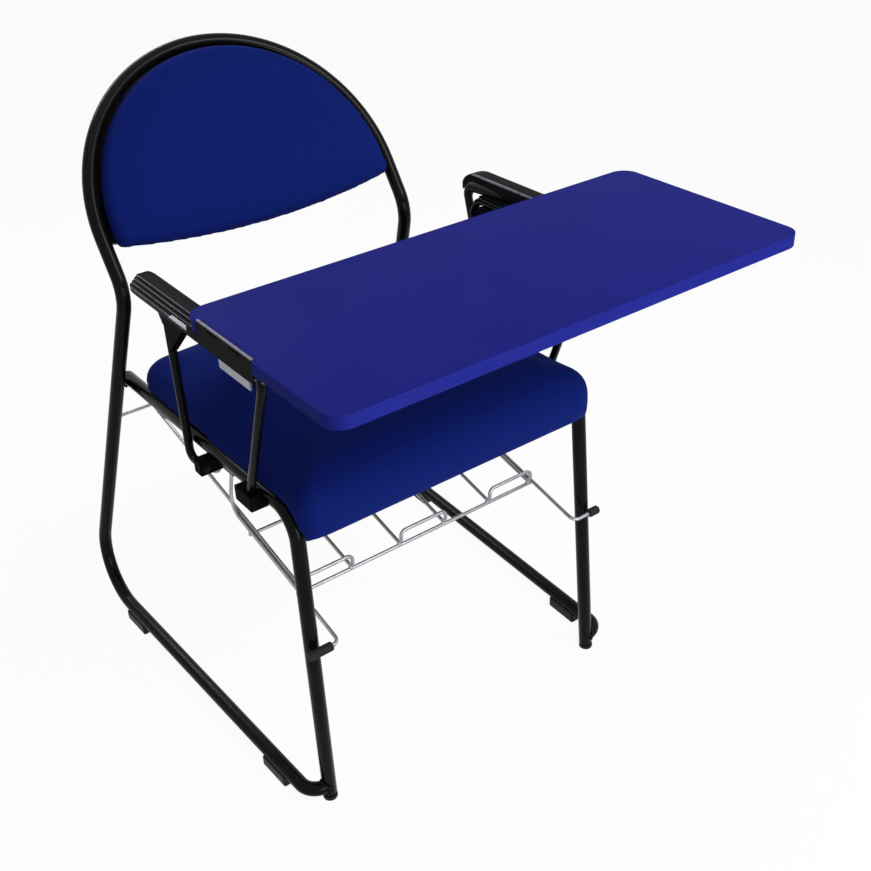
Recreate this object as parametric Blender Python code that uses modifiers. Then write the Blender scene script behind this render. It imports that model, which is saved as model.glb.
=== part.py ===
"""Training chair: bent-tube sled frame, padded seat and back, arm loops, a writing
tablet that hinges up from the right arm, and a wire book basket under the seat.

Metres, +Z up. The chair faces -Y; right and left are the sitter's, so right is -X.
Everything is laid out from the middle of the floor between the front legs and is moved,
at the end, so that the origin is the middle of the whole footprint at floor level.
"""

import math

import bmesh
import bpy
from mathutils import Matrix, Vector

NAME = "training_chair"
SIDES = (("right", -1), ("left", 1))

# Clearances
WELD_GAP = 0.0003
FIT_GAP = 0.0003
BORE_GAP = 0.0003
RUNNING_GAP = 0.0001

# Frame tube
TUBE_OD = 0.019
TUBE_R = TUBE_OD / 2
BEND_LEAD = 0.004

# Front legs and seat rails
LEG_FOOT_X = 0.226
LEG_FOOT_Y = -0.232
LEG_TOP_Y = -0.2055
RAIL_FRONT_Z = 0.430
RAIL_RISE = -0.011
LEG_BEND_R = 0.038
LEG_CAP_HEIGHT = 0.006
LEG_CAP_OD = 0.0195
RAIL_TAIL = 0.012

# Floor runners and their glides
GLIDE_SOLE = 0.010
GLIDE_LENGTH = 0.054
GLIDE_WIDTH = 0.023
GLIDE_HEIGHT = 0.017
GLIDE_INSET_FRONT = 0.074
GLIDE_INSET_REAR = 0.137
RUNNER_Z = GLIDE_SOLE + FIT_GAP + TUBE_R
RUNNER_FRONT_X = 0.253
RUNNER_REAR_X = 0.273
RUNNER_REAR_Y = 0.373
RUNNER_TURN_R = 0.024
REAR_BEND_R = 0.075

# Back hoop
KINK_Y = 0.174
KINK_Z = 0.568
KINK_R = 0.055
HOOP_HALF = 0.2225
HOOP_STRAIGHT = 0.0765
HOOP_LEAN = math.radians(34)

# Seat
SEAT_BAR_WIDTH = 0.025
SEAT_BAR_THICKNESS = 0.004
SEAT_BAR_FRONT = 0.150
SEAT_BAR_REAR = 0.335
BOARD_THICKNESS = 0.012
BOARD_SIDE_GAP = 0.0015
BOARD_FRONT = -0.004
BOARD_REAR = 0.412
SEAT_HEIGHT = 0.042
SEAT_CROWN = 0.017
SEAT_NOSE = 0.036
SEAT_APRON_DROP = 0.026
SEAT_NOSE_R = 0.036
SEAT_NOSE_LEAN = 0.004
SEAT_REAR_R = 0.026
SEAT_HEM_R = 0.007
SEAT_SIDE_R = 0.014
SEAT_HEM_SHARE = 0.35
SEAT_DRAW = 0.002
SEAT_SIDE_BULGE = 0.004
SEAT_OVERHANG = 0.0025
SEAT_RAIL_GAP = 0.0006
SEAT_LEG_GAP = 0.003
SEAT_FRONT_CORNER_R = 0.024
SEAT_REAR_CORNER_R = 0.045
BOARD_CORNER_R = 0.036

# Back rest
PAD_HOOP_GAP = 0.0008
PAD_CORNER_UP = 0.057
PAD_BOTTOM_UP = 0.037
PAD_CORNER_R = 0.009
BACK_BOARD_THICKNESS = 0.010
BACK_BOARD_INSET = 0.016
BACK_CUSHION_THICKNESS = 0.026
BACK_CROWN = 0.012
BACK_DRAW = 0.003
BACK_COVER_THICKNESS = 0.008
BACK_COVER_OUTSET = 0.005
BACK_LIFT = 0.014
TAB_WIDTH = 0.026
TAB_THICKNESS = 0.003
TAB_REACH = 0.048
TAB_UP_ANGLE = math.radians(58)
TAB_LOW_ANGLE = math.radians(8)

# Arms
ARM_ROD_D = 0.011
ARM_ROD_R = ARM_ROD_D / 2
ARM_REAR_FOOT_Y = 0.0245
ARM_REAR_TOP_Y = 0.027
ARM_FRONT_FOOT_Y = -0.128
ARM_FRONT_TOP_Y = -0.207
ARM_HOOK_DROP = 0.0275
ARM_HOOK_R = 0.011
ARM_HOOK_RUN = 0.044
ARM_FRONT_FOOT_DROP = 0.015
ARM_BEND_R = 0.025
PAD_OFFSET = 0.02065
PAD_WIDTH = 0.0325
PAD_THICKNESS = 0.022
PAD_REAR_Y = 0.052
PAD_FRONT_Y = -0.250
PAD_TOP_Z = 0.656
PAD_END_LENGTH = 0.030
PAD_END_DRAW = 0.0145
PAD_END_FLATTEN = 0.5
PAD_EDGE_R = 0.005
PAD_REAR_DROOP = 0.013
PAD_SHOULDER_RUN = 0.012
PAD_SHOULDER_DROP = 0.010
PAD_CHAMFER = 0.006
RIDGE_COUNT = 3
RIDGE_DEPTH = 0.0014
PAD_BRACKET_THICKNESS = 0.0024
PAD_BRACKET_DROP = 0.042
PAD_BRACKET_LIP = 0.024
WEB_DROP = 0.078
WEB_TIP = 0.003
WEB_INNER = 0.0035
PAD_BRACKET_FRONT = (-0.185, -0.117)
PAD_BRACKET_REAR = (-0.045, 0.008)
CLAMP_LENGTH_REAR = 0.018
CLAMP_LENGTH_FRONT = 0.038
CLAMP_WALL = 0.003
CLAMP_INNER = 0.007
CLAMP_SOLE = 0.0075
CLAMP_SHOULDER = 0.004
BOLT_D = 0.006
BOLT_HEAD_D = 0.011
BOLT_HEAD_HEIGHT = 0.005

# Writing tablet and its hinge
TABLET_LIFT = 0.003
TABLET_THICKNESS = 0.015
TABLET_LEFT_X = 0.366
TABLET_FRONT_Y = -0.411
TABLET_REAR_Y = -0.124
TABLET_CORNER_R = 0.022
EDGE_BAND = 0.002
TABLET_OVERHANG = 0.007
HINGE_FRONT_Y = -0.266
HINGE_REAR_Y = -0.152
NOTCH_END_GAP = 0.001
KNUCKLE_OD = 0.005
KNUCKLE_R = KNUCKLE_OD / 2
KNUCKLE_COUNT = 5
KNUCKLE_GAP = 0.0004
KNUCKLE_RISE = 0.0012
PIN_D = 0.0022
LEAF_THICKNESS = 0.0016
LEAF_REAR_Y = -0.126
HINGE_BAR_REAR_Y = -0.080
LEAF_TABLET_GAP = 0.0015
HINGE_BAR_DROP = 0.005
HINGE_BAR_HEIGHT = 0.004
REST_D = 0.018
REST_Y = -0.190

# Basket
WIRE_D = 0.005
WIRE_R = WIRE_D / 2
BASKET_SIDE_GAP = 0.017
BASKET_TOP_LEAN = 0.018
BASKET_FLOOR_Z = 0.268
BASKET_FLOOR_Y = -0.143
BASKET_SLOPE = 0.24
BASKET_BACK_Y = 0.020
BASKET_BACK_R = 0.030
BASKET_HOOK_R = 0.010
BASKET_HOOK_REACH = 0.0134
BASKET_CROSS_Y = -0.030
TRAY_HALF = 0.0365
TRAY_LIP = 0.022
TRAY_LIP_R = 0.008
TRAY_OVERRUN = 0.006
SLEEVE_OD = 0.012
SLEEVE_END = 0.002
SLEEVE_LEG_GAP = 0.0028
SLEEVE_START = {"right": 0.0003, "left": 0.017}

# Colours as linear red, green, blue, with roughness and metallic
FINISHES = {
    "powder_coat": ((0.012, 0.012, 0.014), 0.35, 0.0),
    "blue_fabric": ((0.006, 0.014, 0.170), 0.95, 0.0),
    "blue_laminate": ((0.018, 0.022, 0.200), 0.45, 0.0),
    "blue_edging": ((0.033, 0.040, 0.250), 0.40, 0.0),
    "black_plastic": ((0.015, 0.015, 0.016), 0.50, 0.0),
    "zinc_plate": ((0.480, 0.490, 0.520), 0.35, 1.0),
    "black_rubber": ((0.010, 0.010, 0.010), 0.80, 0.0),
    "plywood": ((0.420, 0.270, 0.130), 0.70, 0.0),
}

# How finely round things are divided
ARC_STEPS = 7
TUBE_FACET_COUNT = 6
ROD_FACET_COUNT = 4
WIRE_FACET_COUNT = 2
ROUND_SIDES = 20


def clear_scene():
    for obj in list(bpy.data.objects):
        bpy.data.objects.remove(obj, do_unlink=True)


def collection(name):
    made = bpy.data.collections.new(name)
    bpy.context.scene.collection.children.link(made)
    return made


clear_scene()
PARTS = collection(NAME)
CUTTERS = collection("cutters")


def finish(name):
    found = bpy.data.materials.get(name)
    if found:
        return found
    color, roughness, metallic = FINISHES[name]
    made = bpy.data.materials.new(name)
    made.use_nodes = True
    shader = made.node_tree.nodes["Principled BSDF"]
    shader.inputs["Base Color"].default_value = (*color, 1.0)
    shader.inputs["Roughness"].default_value = roughness
    shader.inputs["Metallic"].default_value = metallic
    made.diffuse_color = (*color, 1.0)
    return made


def empty(name, location=(0, 0, 0), rotation=(0, 0, 0), parent=None):
    made = bpy.data.objects.new(name, None)
    made.location = location
    made.rotation_euler = rotation
    made.parent = parent
    PARTS.objects.link(made)
    return made


def place(name, data, look, parent, location=(0, 0, 0), rotation=(0, 0, 0)):
    """An object with its own material, under its parent."""
    made = bpy.data.objects.new(name, data)
    if not data.materials:
        data.materials.append(finish(look))
    made.parent = parent
    made.location = location
    made.rotation_euler = rotation
    PARTS.objects.link(made)
    return made


def hide_cutter(obj):
    for held in list(obj.users_collection):
        held.objects.unlink(obj)
    CUTTERS.objects.link(obj)
    obj.hide_render = True
    obj.display_type = "WIRE"


def boolean(target, other, operation):
    modifier = target.modifiers.new(operation.lower(), "BOOLEAN")
    modifier.operation = operation
    modifier.object = other
    hide_cutter(other)


def rounded_path(corners, radius, steps=ARC_STEPS):
    """The corners joined by straight runs, with each inner corner turned into an arc."""
    corners = [Vector(c) for c in corners]
    points = [corners[0]]
    for before, corner, after in zip(corners, corners[1:], corners[2:]):
        points += corner_arc(before, corner, after, radius, steps)
    points.append(corners[-1])
    return points


def corner_arc(before, corner, after, radius, steps=ARC_STEPS):
    back = (before - corner).normalized()
    ahead = (after - corner).normalized()
    half = back.angle(ahead) / 2
    centre = corner + (back + ahead).normalized() * (radius / math.sin(half))
    start = corner + back * (radius / math.tan(half)) - centre
    turn = math.pi - 2 * half
    axis = ahead.cross(back).normalized()
    return [centre + Matrix.Rotation(turn * i / steps, 3, axis) @ start for i in range(steps + 1)]


def rounded_outline(corners, radius, steps=ARC_STEPS):
    """A closed outline whose every corner is an arc."""
    corners = [Vector(c) for c in corners]
    points = []
    for i, corner in enumerate(corners):
        after = corners[(i + 1) % len(corners)]
        points += corner_arc(corners[i - 1], corner, after, radius, steps)
    return points


def rod(name, points, radius, look, parent, facets=WIRE_FACET_COUNT):
    """A round rod or tube along a line of points, with closed ends."""
    curve = bpy.data.curves.new(name, "CURVE")
    curve.dimensions = "3D"
    curve.bevel_depth = radius
    curve.bevel_resolution = facets
    curve.use_fill_caps = True
    spline = curve.splines.new("POLY")
    spline.points.add(len(points) - 1)
    for knot, point in zip(spline.points, points):
        knot.co = (*point, 1.0)
    return place(name, curve, look, parent)


def meshed(curve_object):
    """The same piece as a mesh, so that it can be cut."""
    graph = bpy.context.evaluated_depsgraph_get()
    mesh = bpy.data.meshes.new_from_object(curve_object.evaluated_get(graph))
    welded = bmesh.new()
    welded.from_mesh(mesh)
    bmesh.ops.remove_doubles(welded, verts=welded.verts, dist=1e-6)
    welded.to_mesh(mesh)
    welded.free()
    name = curve_object.name
    parent = curve_object.parent
    matrix = curve_object.matrix_local.copy()
    bpy.data.objects.remove(curve_object, do_unlink=True)
    mesh.name = name
    made = bpy.data.objects.new(name, mesh)
    made.parent = parent
    made.matrix_local = matrix
    PARTS.objects.link(made)
    return made


def plate(name, outline, thickness, look, parent, location=(0, 0, 0), rotation=(0, 0, 0), bevel=0.0):
    """A flat piece with this outline."""
    curve = bpy.data.curves.new(name, "CURVE")
    curve.dimensions = "2D"
    curve.fill_mode = "BOTH"
    curve.extrude = thickness / 2
    spline = curve.splines.new("POLY")
    spline.points.add(len(outline) - 1)
    spline.use_cyclic_u = True
    for knot, point in zip(spline.points, outline):
        knot.co = (point[0], point[1], 0.0, 1.0)
    made = place(name, curve, look, parent, location, rotation)
    if bevel:
        round_edges(made, bevel, weld=True)
    return made


def round_edges(obj, width, segments=2, weld=False):
    if weld:
        joined = obj.modifiers.new("weld", "WELD")
        joined.merge_threshold = 1e-5
    modifier = obj.modifiers.new("bevel", "BEVEL")
    modifier.width = width
    modifier.segments = segments
    modifier.limit_method = "ANGLE"
    modifier.angle_limit = math.radians(40)


def block(name, low, high, look, parent, bevel=0.0, location=(0, 0, 0), rotation=(0, 0, 0)):
    """A box between two corners."""
    shape = bmesh.new()
    bmesh.ops.create_cube(shape, size=1.0)
    low, high = Vector(low), Vector(high)
    for vert in shape.verts:
        vert.co = Vector((low[i] + (high[i] - low[i]) * (vert.co[i] + 0.5)) for i in range(3))
    mesh = bpy.data.meshes.new(name)
    shape.to_mesh(mesh)
    shape.free()
    made = place(name, mesh, look, parent, location, rotation)
    if bevel:
        round_edges(made, bevel)
    return made


def cylinder(name, radius, start, end, look, parent, sides=ROUND_SIDES, bevel=0.0):
    """A round bar between two points."""
    start, end = Vector(start), Vector(end)
    shape = bmesh.new()
    length = (end - start).length
    bmesh.ops.create_cone(
        shape, cap_ends=True, segments=sides, radius1=radius, radius2=radius, depth=length
    )
    turn = (end - start).to_track_quat("Z", "Y").to_matrix().to_4x4()
    bmesh.ops.transform(shape, matrix=Matrix.Translation((start + end) / 2) @ turn, verts=shape.verts)
    mesh = bpy.data.meshes.new(name)
    shape.to_mesh(mesh)
    shape.free()
    made = place(name, mesh, look, parent)
    mesh.shade_smooth()
    mesh.set_sharp_from_angle(angle=math.radians(40))
    if bevel:
        round_edges(made, bevel)
    return made


def loft(name, sections, look, parent):
    """A skin through closed sections of equal point count, with both ends capped."""
    shape = bmesh.new()
    rings = [[shape.verts.new(point) for point in section] for section in sections]
    count = len(rings[0])
    for one, two in zip(rings, rings[1:]):
        for i in range(count):
            j = (i + 1) % count
            shape.faces.new((one[i], one[j], two[j], two[i]))
    shape.faces.new(list(reversed(rings[0])))
    shape.faces.new(rings[-1])
    bmesh.ops.recalc_face_normals(shape, faces=shape.faces)
    mesh = bpy.data.meshes.new(name)
    shape.to_mesh(mesh)
    shape.free()
    mesh.shade_smooth()
    mesh.set_sharp_from_angle(angle=math.radians(50))
    return place(name, mesh, look, parent)


def band(name, outer, inner, thickness, look, parent, location):
    """A flat strip bent round into a closed frame between two outlines of equal point count."""
    shape = bmesh.new()
    half = Vector((0, 0, thickness / 2))
    loops = [[shape.verts.new(point + rise) for point in outline]
             for outline, rise in ((outer, -half), (outer, half), (inner, half), (inner, -half))]
    count = len(outer)
    for one, two in zip(loops, loops[1:] + loops[:1]):
        for i in range(count):
            j = (i + 1) % count
            shape.faces.new((one[i], one[j], two[j], two[i]))
    bmesh.ops.recalc_face_normals(shape, faces=shape.faces)
    mesh = bpy.data.meshes.new(name)
    shape.to_mesh(mesh)
    shape.free()
    mesh.shade_smooth()
    mesh.set_sharp_from_angle(angle=math.radians(40))
    return place(name, mesh, look, parent, location)


def round_end(depth, radius):
    """How far a round end of this radius has drawn in, at a depth from its tip."""
    if depth >= radius:
        return 0.0
    return radius - math.sqrt(radius**2 - (radius - depth) ** 2)


def round_stations(low, high, radius, middle):
    """Places along a length, close together over its round ends."""
    tips = [radius * (1 - math.cos(math.pi / 2 * i / 4)) for i in range(5)]
    start = low + radius
    span = high - low - 2 * radius
    inner = [start + span * i / middle for i in range(1, middle)]
    return [low + t for t in tips] + inner + [high - t for t in reversed(tips)]


# Key points of the frame, on the left side


def leg_at(z):
    """The front leg's centre line at a height."""
    share = z / RAIL_FRONT_Z
    return Vector((
        LEG_FOOT_X + (LEG_TOP_X - LEG_FOOT_X) * share,
        LEG_FOOT_Y + (LEG_TOP_Y - LEG_FOOT_Y) * share,
        z,
    ))


REAR_FOOT = Vector((RUNNER_REAR_X, RUNNER_REAR_Y, RUNNER_Z))
KINK = Vector((HOOP_HALF, KINK_Y, KINK_Z))
HOOP_UP = Vector((0, math.sin(HOOP_LEAN), math.cos(HOOP_LEAN)))


def rear_leg_at(z):
    """The rear leg's centre line at a height."""
    return REAR_FOOT.lerp(KINK, (z - RUNNER_Z) / (KINK_Z - RUNNER_Z))


# The rails run straight forward from the inner sides of the rear legs
RAIL_REAR_Z = RAIL_FRONT_Z + RAIL_RISE
RAIL_MEETS = rear_leg_at(RAIL_REAR_Z)
LEG_TOP_X = RAIL_MEETS.x - TUBE_OD - 2 * WELD_GAP
LEG_TOP = leg_at(RAIL_FRONT_Z)
RAIL_END = Vector((LEG_TOP_X, RAIL_MEETS.y + RAIL_TAIL, RAIL_REAR_Z))
RAIL_SLOPE = math.atan2(RAIL_RISE, RAIL_END.y - LEG_TOP_Y)


def rail_at(y):
    """The seat rail's centre line at a depth."""
    return LEG_TOP.lerp(RAIL_END, (y - LEG_TOP_Y) / (RAIL_END.y - LEG_TOP_Y))


def mirrored(points, sign):
    return [Vector((sign * p[0], p[1], p[2])) for p in points]


def step_from(point, target, distance):
    return point + (target - point).normalized() * distance


ROOT = empty(NAME + "_root")
SEAT_FRAME = empty("seat_frame", (0, LEG_TOP_Y, RAIL_FRONT_Z), (RAIL_SLOPE, 0, 0), ROOT)
BACK_FRAME = empty("back_frame", (0, KINK_Y, KINK_Z), (-HOOP_LEAN, 0, 0), ROOT)


def front_leg_and_rail(side, sign):
    bend = corner_arc(leg_at(0), LEG_TOP, RAIL_END, LEG_BEND_R)
    leg_end = leg_at(LEG_CAP_HEIGHT + FIT_GAP + TUBE_R * (LEG_TOP_Y - LEG_FOOT_Y) / RAIL_FRONT_Z)
    joint = step_from(bend[-1], RAIL_END, BEND_LEAD)
    leg = [leg_end] + bend + [joint]
    rail = [step_from(joint, RAIL_END, WELD_GAP), RAIL_END]
    rod("front_leg_" + side, mirrored(leg, sign), TUBE_R, "powder_coat", ROOT, TUBE_FACET_COUNT)
    rod("seat_rail_" + side, mirrored(rail, sign), TUBE_R, "powder_coat", ROOT, TUBE_FACET_COUNT)
    foot = mirrored([leg_at(0), leg_at(0) + Vector((0, 0, LEG_CAP_HEIGHT))], sign)
    cylinder("leg_cap_" + side, LEG_CAP_OD / 2, foot[0], foot[1], "black_plastic", ROOT, bevel=0.001)


def runner_and_rear_leg(side, sign):
    weld = leg_at(RUNNER_Z)
    turn = Vector((RUNNER_FRONT_X, weld.y, RUNNER_Z))
    front = corner_arc(weld, turn, REAR_FOOT, RUNNER_TURN_R)
    rear = corner_arc(turn, REAR_FOOT, KINK, REAR_BEND_R)
    low_joint = step_from(rear[-1], KINK, BEND_LEAD)
    path = mirrored([weld] + front + rear + [low_joint], sign)
    runner = meshed(rod("runner_" + side, path, TUBE_R, "powder_coat", ROOT, TUBE_FACET_COUNT))
    socket = rod("runner_cope_" + side, mirrored([leg_at(0), leg_at(2 * TUBE_OD)], sign),
                 TUBE_R + WELD_GAP, "powder_coat", ROOT, TUBE_FACET_COUNT)
    boolean(runner, meshed(socket), "DIFFERENCE")
    leg = [step_from(low_joint, KINK, WELD_GAP), step_from(kink_bend()[0], REAR_FOOT, WELD_GAP)]
    rod("rear_leg_" + side, mirrored(leg, sign), TUBE_R, "powder_coat", ROOT, TUBE_FACET_COUNT)
    for end, y in (("front", turn.y + GLIDE_INSET_FRONT), ("rear", RUNNER_REAR_Y - GLIDE_INSET_REAR)):
        glide(end, side, sign, turn, y)


def glide(end, side, sign, turn, y):
    """A plastic shoe that cradles the runner."""
    name = "glide_" + end + "_" + side
    centre = turn.lerp(REAR_FOOT, (y - turn.y) / (REAR_FOOT.y - turn.y))
    splay = math.atan2(REAR_FOOT.x - turn.x, REAR_FOOT.y - turn.y)
    half = Vector((GLIDE_WIDTH / 2, GLIDE_LENGTH / 2, 0))
    spot = (sign * centre.x, centre.y, 0)
    shoe = block(name, -half, half + Vector((0, 0, GLIDE_HEIGHT)), "black_plastic", ROOT,
                 bevel=0.0025, location=spot, rotation=(0, 0, -sign * splay))
    groove = cylinder(name + "_groove", TUBE_R + FIT_GAP, (0, -GLIDE_LENGTH, RUNNER_Z),
                      (0, GLIDE_LENGTH, RUNNER_Z), "black_plastic", ROOT)
    groove.location = spot
    groove.rotation_euler = (0, 0, -sign * splay)
    boolean(shoe, groove, "DIFFERENCE")


def kink_bend():
    bend = corner_arc(REAR_FOOT, KINK, KINK + HOOP_UP, KINK_R)
    return [step_from(bend[0], REAR_FOOT, BEND_LEAD)] + bend


def back_hoop():
    side = kink_bend() + [KINK + HOOP_UP * HOOP_STRAIGHT]
    steps = 4 * ARC_STEPS
    arch = []
    for i in range(1, steps):
        angle = math.pi * i / steps
        rise = HOOP_STRAIGHT + HOOP_HALF * math.sin(angle)
        arch.append(Vector((HOOP_HALF * math.cos(angle), KINK_Y, KINK_Z)) + HOOP_UP * rise)
    path = side + arch + list(reversed(mirrored(side, -1)))
    rod("back_hoop", path, TUBE_R, "powder_coat", ROOT, TUBE_FACET_COUNT)


# Seat, laid out from the virtual corner of leg and rail, along the rails


BOARD_HALF = LEG_TOP_X - TUBE_R - BOARD_SIDE_GAP
BOARD_BOTTOM = -TUBE_R
BOARD_TOP = BOARD_BOTTOM + BOARD_THICKNESS


def seat_bars_and_board():
    top = BOARD_BOTTOM - FIT_GAP
    for end, depth in (("front", SEAT_BAR_FRONT), ("rear", SEAT_BAR_REAR)):
        reach = rail_at(LEG_TOP_Y + depth).x + TUBE_R / 2
        block("seat_bar_" + end,
              (-reach, depth - SEAT_BAR_WIDTH / 2, top - SEAT_BAR_THICKNESS),
              (reach, depth + SEAT_BAR_WIDTH / 2, top), "powder_coat", SEAT_FRAME, bevel=0.0008)
    corners = [(-BOARD_HALF, BOARD_FRONT, 0), (BOARD_HALF, BOARD_FRONT, 0),
               (BOARD_HALF, BOARD_REAR, 0), (-BOARD_HALF, BOARD_REAR, 0)]
    outline = rounded_outline(corners, BOARD_CORNER_R)
    plate("seat_board", outline, BOARD_THICKNESS, "plywood", SEAT_FRAME,
          location=(0, 0, BOARD_BOTTOM + BOARD_THICKNESS / 2))


SEAT_BASE = BOARD_TOP + FIT_GAP
SEAT_HALF = LEG_TOP_X + SEAT_OVERHANG
SEAT_NOSE_FRONT = BOARD_FRONT - SEAT_NOSE
LEG_CLEAR = -TUBE_R - SEAT_LEG_GAP


def seat_profile(shrink, over_rail):
    """The cushion's side view, depth and height, moved inwards by a distance.

    Between the rails it hugs the board. Over them it lies on the rail and rolls over the leg's bend.
    """
    top = SEAT_BASE + SEAT_HEIGHT
    apron = BOARD_BOTTOM - SEAT_APRON_DROP + TUBE_R
    hem = shrink * SEAT_HEM_SHARE
    base, behind, inner_r = SEAT_BASE, BOARD_FRONT - FIT_GAP, FIT_GAP
    if over_rail:
        base, behind, inner_r = TUBE_R + SEAT_RAIL_GAP, LEG_CLEAR, LEG_BEND_R + TUBE_R + SEAT_RAIL_GAP
    corners = [
        (BOARD_REAR - shrink, base + hem, SEAT_HEM_R), (BOARD_REAR - shrink, top - shrink, SEAT_REAR_R),
        (SEAT_NOSE_FRONT + shrink, top - shrink, SEAT_NOSE_R),
        (SEAT_NOSE_FRONT + SEAT_NOSE_LEAN + shrink, apron + hem, SEAT_HEM_R),
        (behind - hem, apron + hem, SEAT_HEM_R), (behind - hem, base + hem, inner_r),
    ]
    arcs = []
    for i, (depth, height, radius) in enumerate(corners):
        before = Vector((*corners[i - 1][:2], 0))
        after = Vector((*corners[(i + 1) % len(corners)][:2], 0))
        inner = i == len(corners) - 1
        tight = radius if inner else max(radius - shrink, SEAT_HEM_R / 10)
        arcs.append(corner_arc(before, Vector((depth, height, 0)), after, tight, 10 if inner else 5))
    points = []
    for arc, following, pieces in zip(arcs, arcs[1:] + arcs[:1], (2, 16, 2, 1, 1, 16)):
        points += arc + [arc[-1].lerp(following[0], i / pieces) for i in range(1, pieces)]
    return [p.to_2d() for p in points]


def seat_plan(x, depth):
    """Rounds the cushion's corners seen from above: where a depth lies at a distance across."""
    tip = SEAT_HALF - abs(x)
    rear_start = BOARD_REAR - 2 * SEAT_REAR_CORNER_R
    if depth > rear_start:
        kept = 1 - round_end(tip, SEAT_REAR_CORNER_R) / (BOARD_REAR - rear_start)
        return rear_start + (depth - rear_start) * kept
    if depth < LEG_CLEAR:
        kept = 1 - round_end(tip, SEAT_FRONT_CORNER_R) / (LEG_CLEAR - SEAT_NOSE_FRONT)
        return LEG_CLEAR + (depth - LEG_CLEAR) * kept
    return depth


def seat_stations():
    """Places across the seat, with a step where the cushion goes from the board up onto the rail."""
    step = BOARD_HALF + FIT_GAP
    tips = [SEAT_SIDE_R * (1 - math.cos(math.pi / 2 * i / 5)) for i in range(5)]
    outer = [(SEAT_HALF - t, True) for t in tips if SEAT_HALF - t > step + FIT_GAP]
    half = outer + [(step + FIT_GAP, True), (step, False)]
    half += [(BOARD_HALF * share, False) for share in (0.93, 0.83, 0.65, 0.45, 0.22)]
    return [(-x, over) for x, over in half] + [(0.0, False)] + list(reversed(half))


def seat_cushion():
    """A crowned pad that rolls over the front, its sides drawn in between the corners."""
    middle = (BOARD_FRONT + BOARD_REAR) / 2
    half_depth = (BOARD_REAR - BOARD_FRONT) / 2 + SEAT_NOSE
    sections = []
    for x, over_rail in seat_stations():
        section = []
        across = x / SEAT_HALF
        for depth, height in seat_profile(round_end(SEAT_HALF - abs(x), SEAT_SIDE_R), over_rail):
            along = min(1.0, abs(depth - middle) / half_depth)
            lift = min(1.0, max(0.0, (height - SEAT_BASE) / SEAT_HEIGHT))
            crown = SEAT_CROWN * (1 - across**2) * (1 - along**2) * lift
            belly = SEAT_SIDE_BULGE * math.sin(math.pi * min(1.0, lift * 1.25)) * lift
            drawn = SEAT_DRAW * (1 - along**2)
            section.append((x + across * (belly - drawn), seat_plan(x, depth), height + crown))
        sections.append(section)
    loft("seat_cushion", sections, "blue_fabric", SEAT_FRAME)


# Back rest, laid out in the plane of the hoop: X across, Z up the back, Y to the rear


PAD_HALF = HOOP_HALF - TUBE_R - PAD_HOOP_GAP
BACK_BOARD_FRONT = -(BACK_BOARD_THICKNESS / 2)
BACK_BOARD_REAR = BACK_BOARD_THICKNESS / 2
TAB_FRONT = BACK_BOARD_REAR + FIT_GAP
TAB_REAR = TAB_FRONT + TAB_THICKNESS


def d_outline(shrink, lift):
    """The pad's D, smaller and with its bottom edge lifted: round top, straight sides, bowed bottom."""
    half = PAD_HALF - shrink
    corner = PAD_CORNER_UP + lift
    bow = PAD_CORNER_UP - PAD_BOTTOM_UP
    bow_r = (half**2 + bow**2) / (2 * bow)
    steps = 4 * ARC_STEPS
    arch = [Vector((half * math.cos(math.pi * i / steps),
                    HOOP_STRAIGHT + half * math.sin(math.pi * i / steps), 0)) for i in range(steps + 1)]
    span = math.asin(half / bow_r)
    bottom = []
    for i in range(1, 2 * ARC_STEPS):
        angle = span * (i / ARC_STEPS - 1)
        bottom.append(Vector((bow_r * math.sin(angle), corner - bow + bow_r * (1 - math.cos(angle)), 0)))
    left = Vector((-half, corner, 0))
    right = Vector((half, corner, 0))
    radius = min(PAD_CORNER_R, (HOOP_STRAIGHT - corner) * 0.95)
    low_left = corner_arc(arch[-1], left, bottom[0], radius, 3)
    low_right = corner_arc(bottom[-1], right, arch[0], radius, 3)
    return arch + low_left + bottom + low_right


def standing(outline, depth):
    """An outline in the plane of the back, at a depth behind the hoop's middle."""
    return [Vector((p[0], depth, p[1])) for p in outline]


def back_rest():
    upright = (math.pi / 2, 0, 0)
    plate("back_board", d_outline(BACK_BOARD_INSET, BACK_LIFT), BACK_BOARD_THICKNESS, "plywood", BACK_FRAME,
          rotation=upright)
    cover_middle = TAB_REAR + FIT_GAP + BACK_COVER_THICKNESS / 2
    plate("back_cover", d_outline(-BACK_COVER_OUTSET, BACK_LIFT), BACK_COVER_THICKNESS, "black_plastic",
          BACK_FRAME, location=(0, cover_middle, 0), rotation=upright, bevel=0.002)
    back_cushion()
    for side, sign in SIDES:
        for height, angle in (("low", TAB_LOW_ANGLE), ("top", TAB_UP_ANGLE)):
            back_tab(height + "_" + side, Vector((sign * math.cos(angle), math.sin(angle))))


def back_cushion():
    """A crowned pad: rings of the D that swell forward towards the middle."""
    outline = d_outline(0, 0)
    centre = Vector((0, HOOP_STRAIGHT + PAD_HALF * 0.38))
    seam = BACK_BOARD_FRONT - FIT_GAP
    rings = []
    for share, rise in ((0.99, 0.0), (1.0, 0.12), (0.997, 0.45), (0.985, 0.75), (0.955, 0.93), (0.90, 1.0)):
        rings.append((share, rise, 0.0))
    for i in range(1, 6):
        rings.append((0.90 * (1 - i / 6), 1.0, 1 - (1 - i / 6) ** 2))
    sections = []
    for share, rise, swell in rings:
        depth = seam - BACK_CUSHION_THICKNESS * rise - BACK_CROWN * swell
        drawn = 1 - BACK_DRAW / PAD_HALF * (1 - abs(2 * rise - 1))
        flat = [centre + (p.to_2d() - centre) * share * drawn for p in outline]
        sections.append(standing(flat, depth))
    loft("back_cushion", sections, "blue_fabric", BACK_FRAME)


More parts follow.
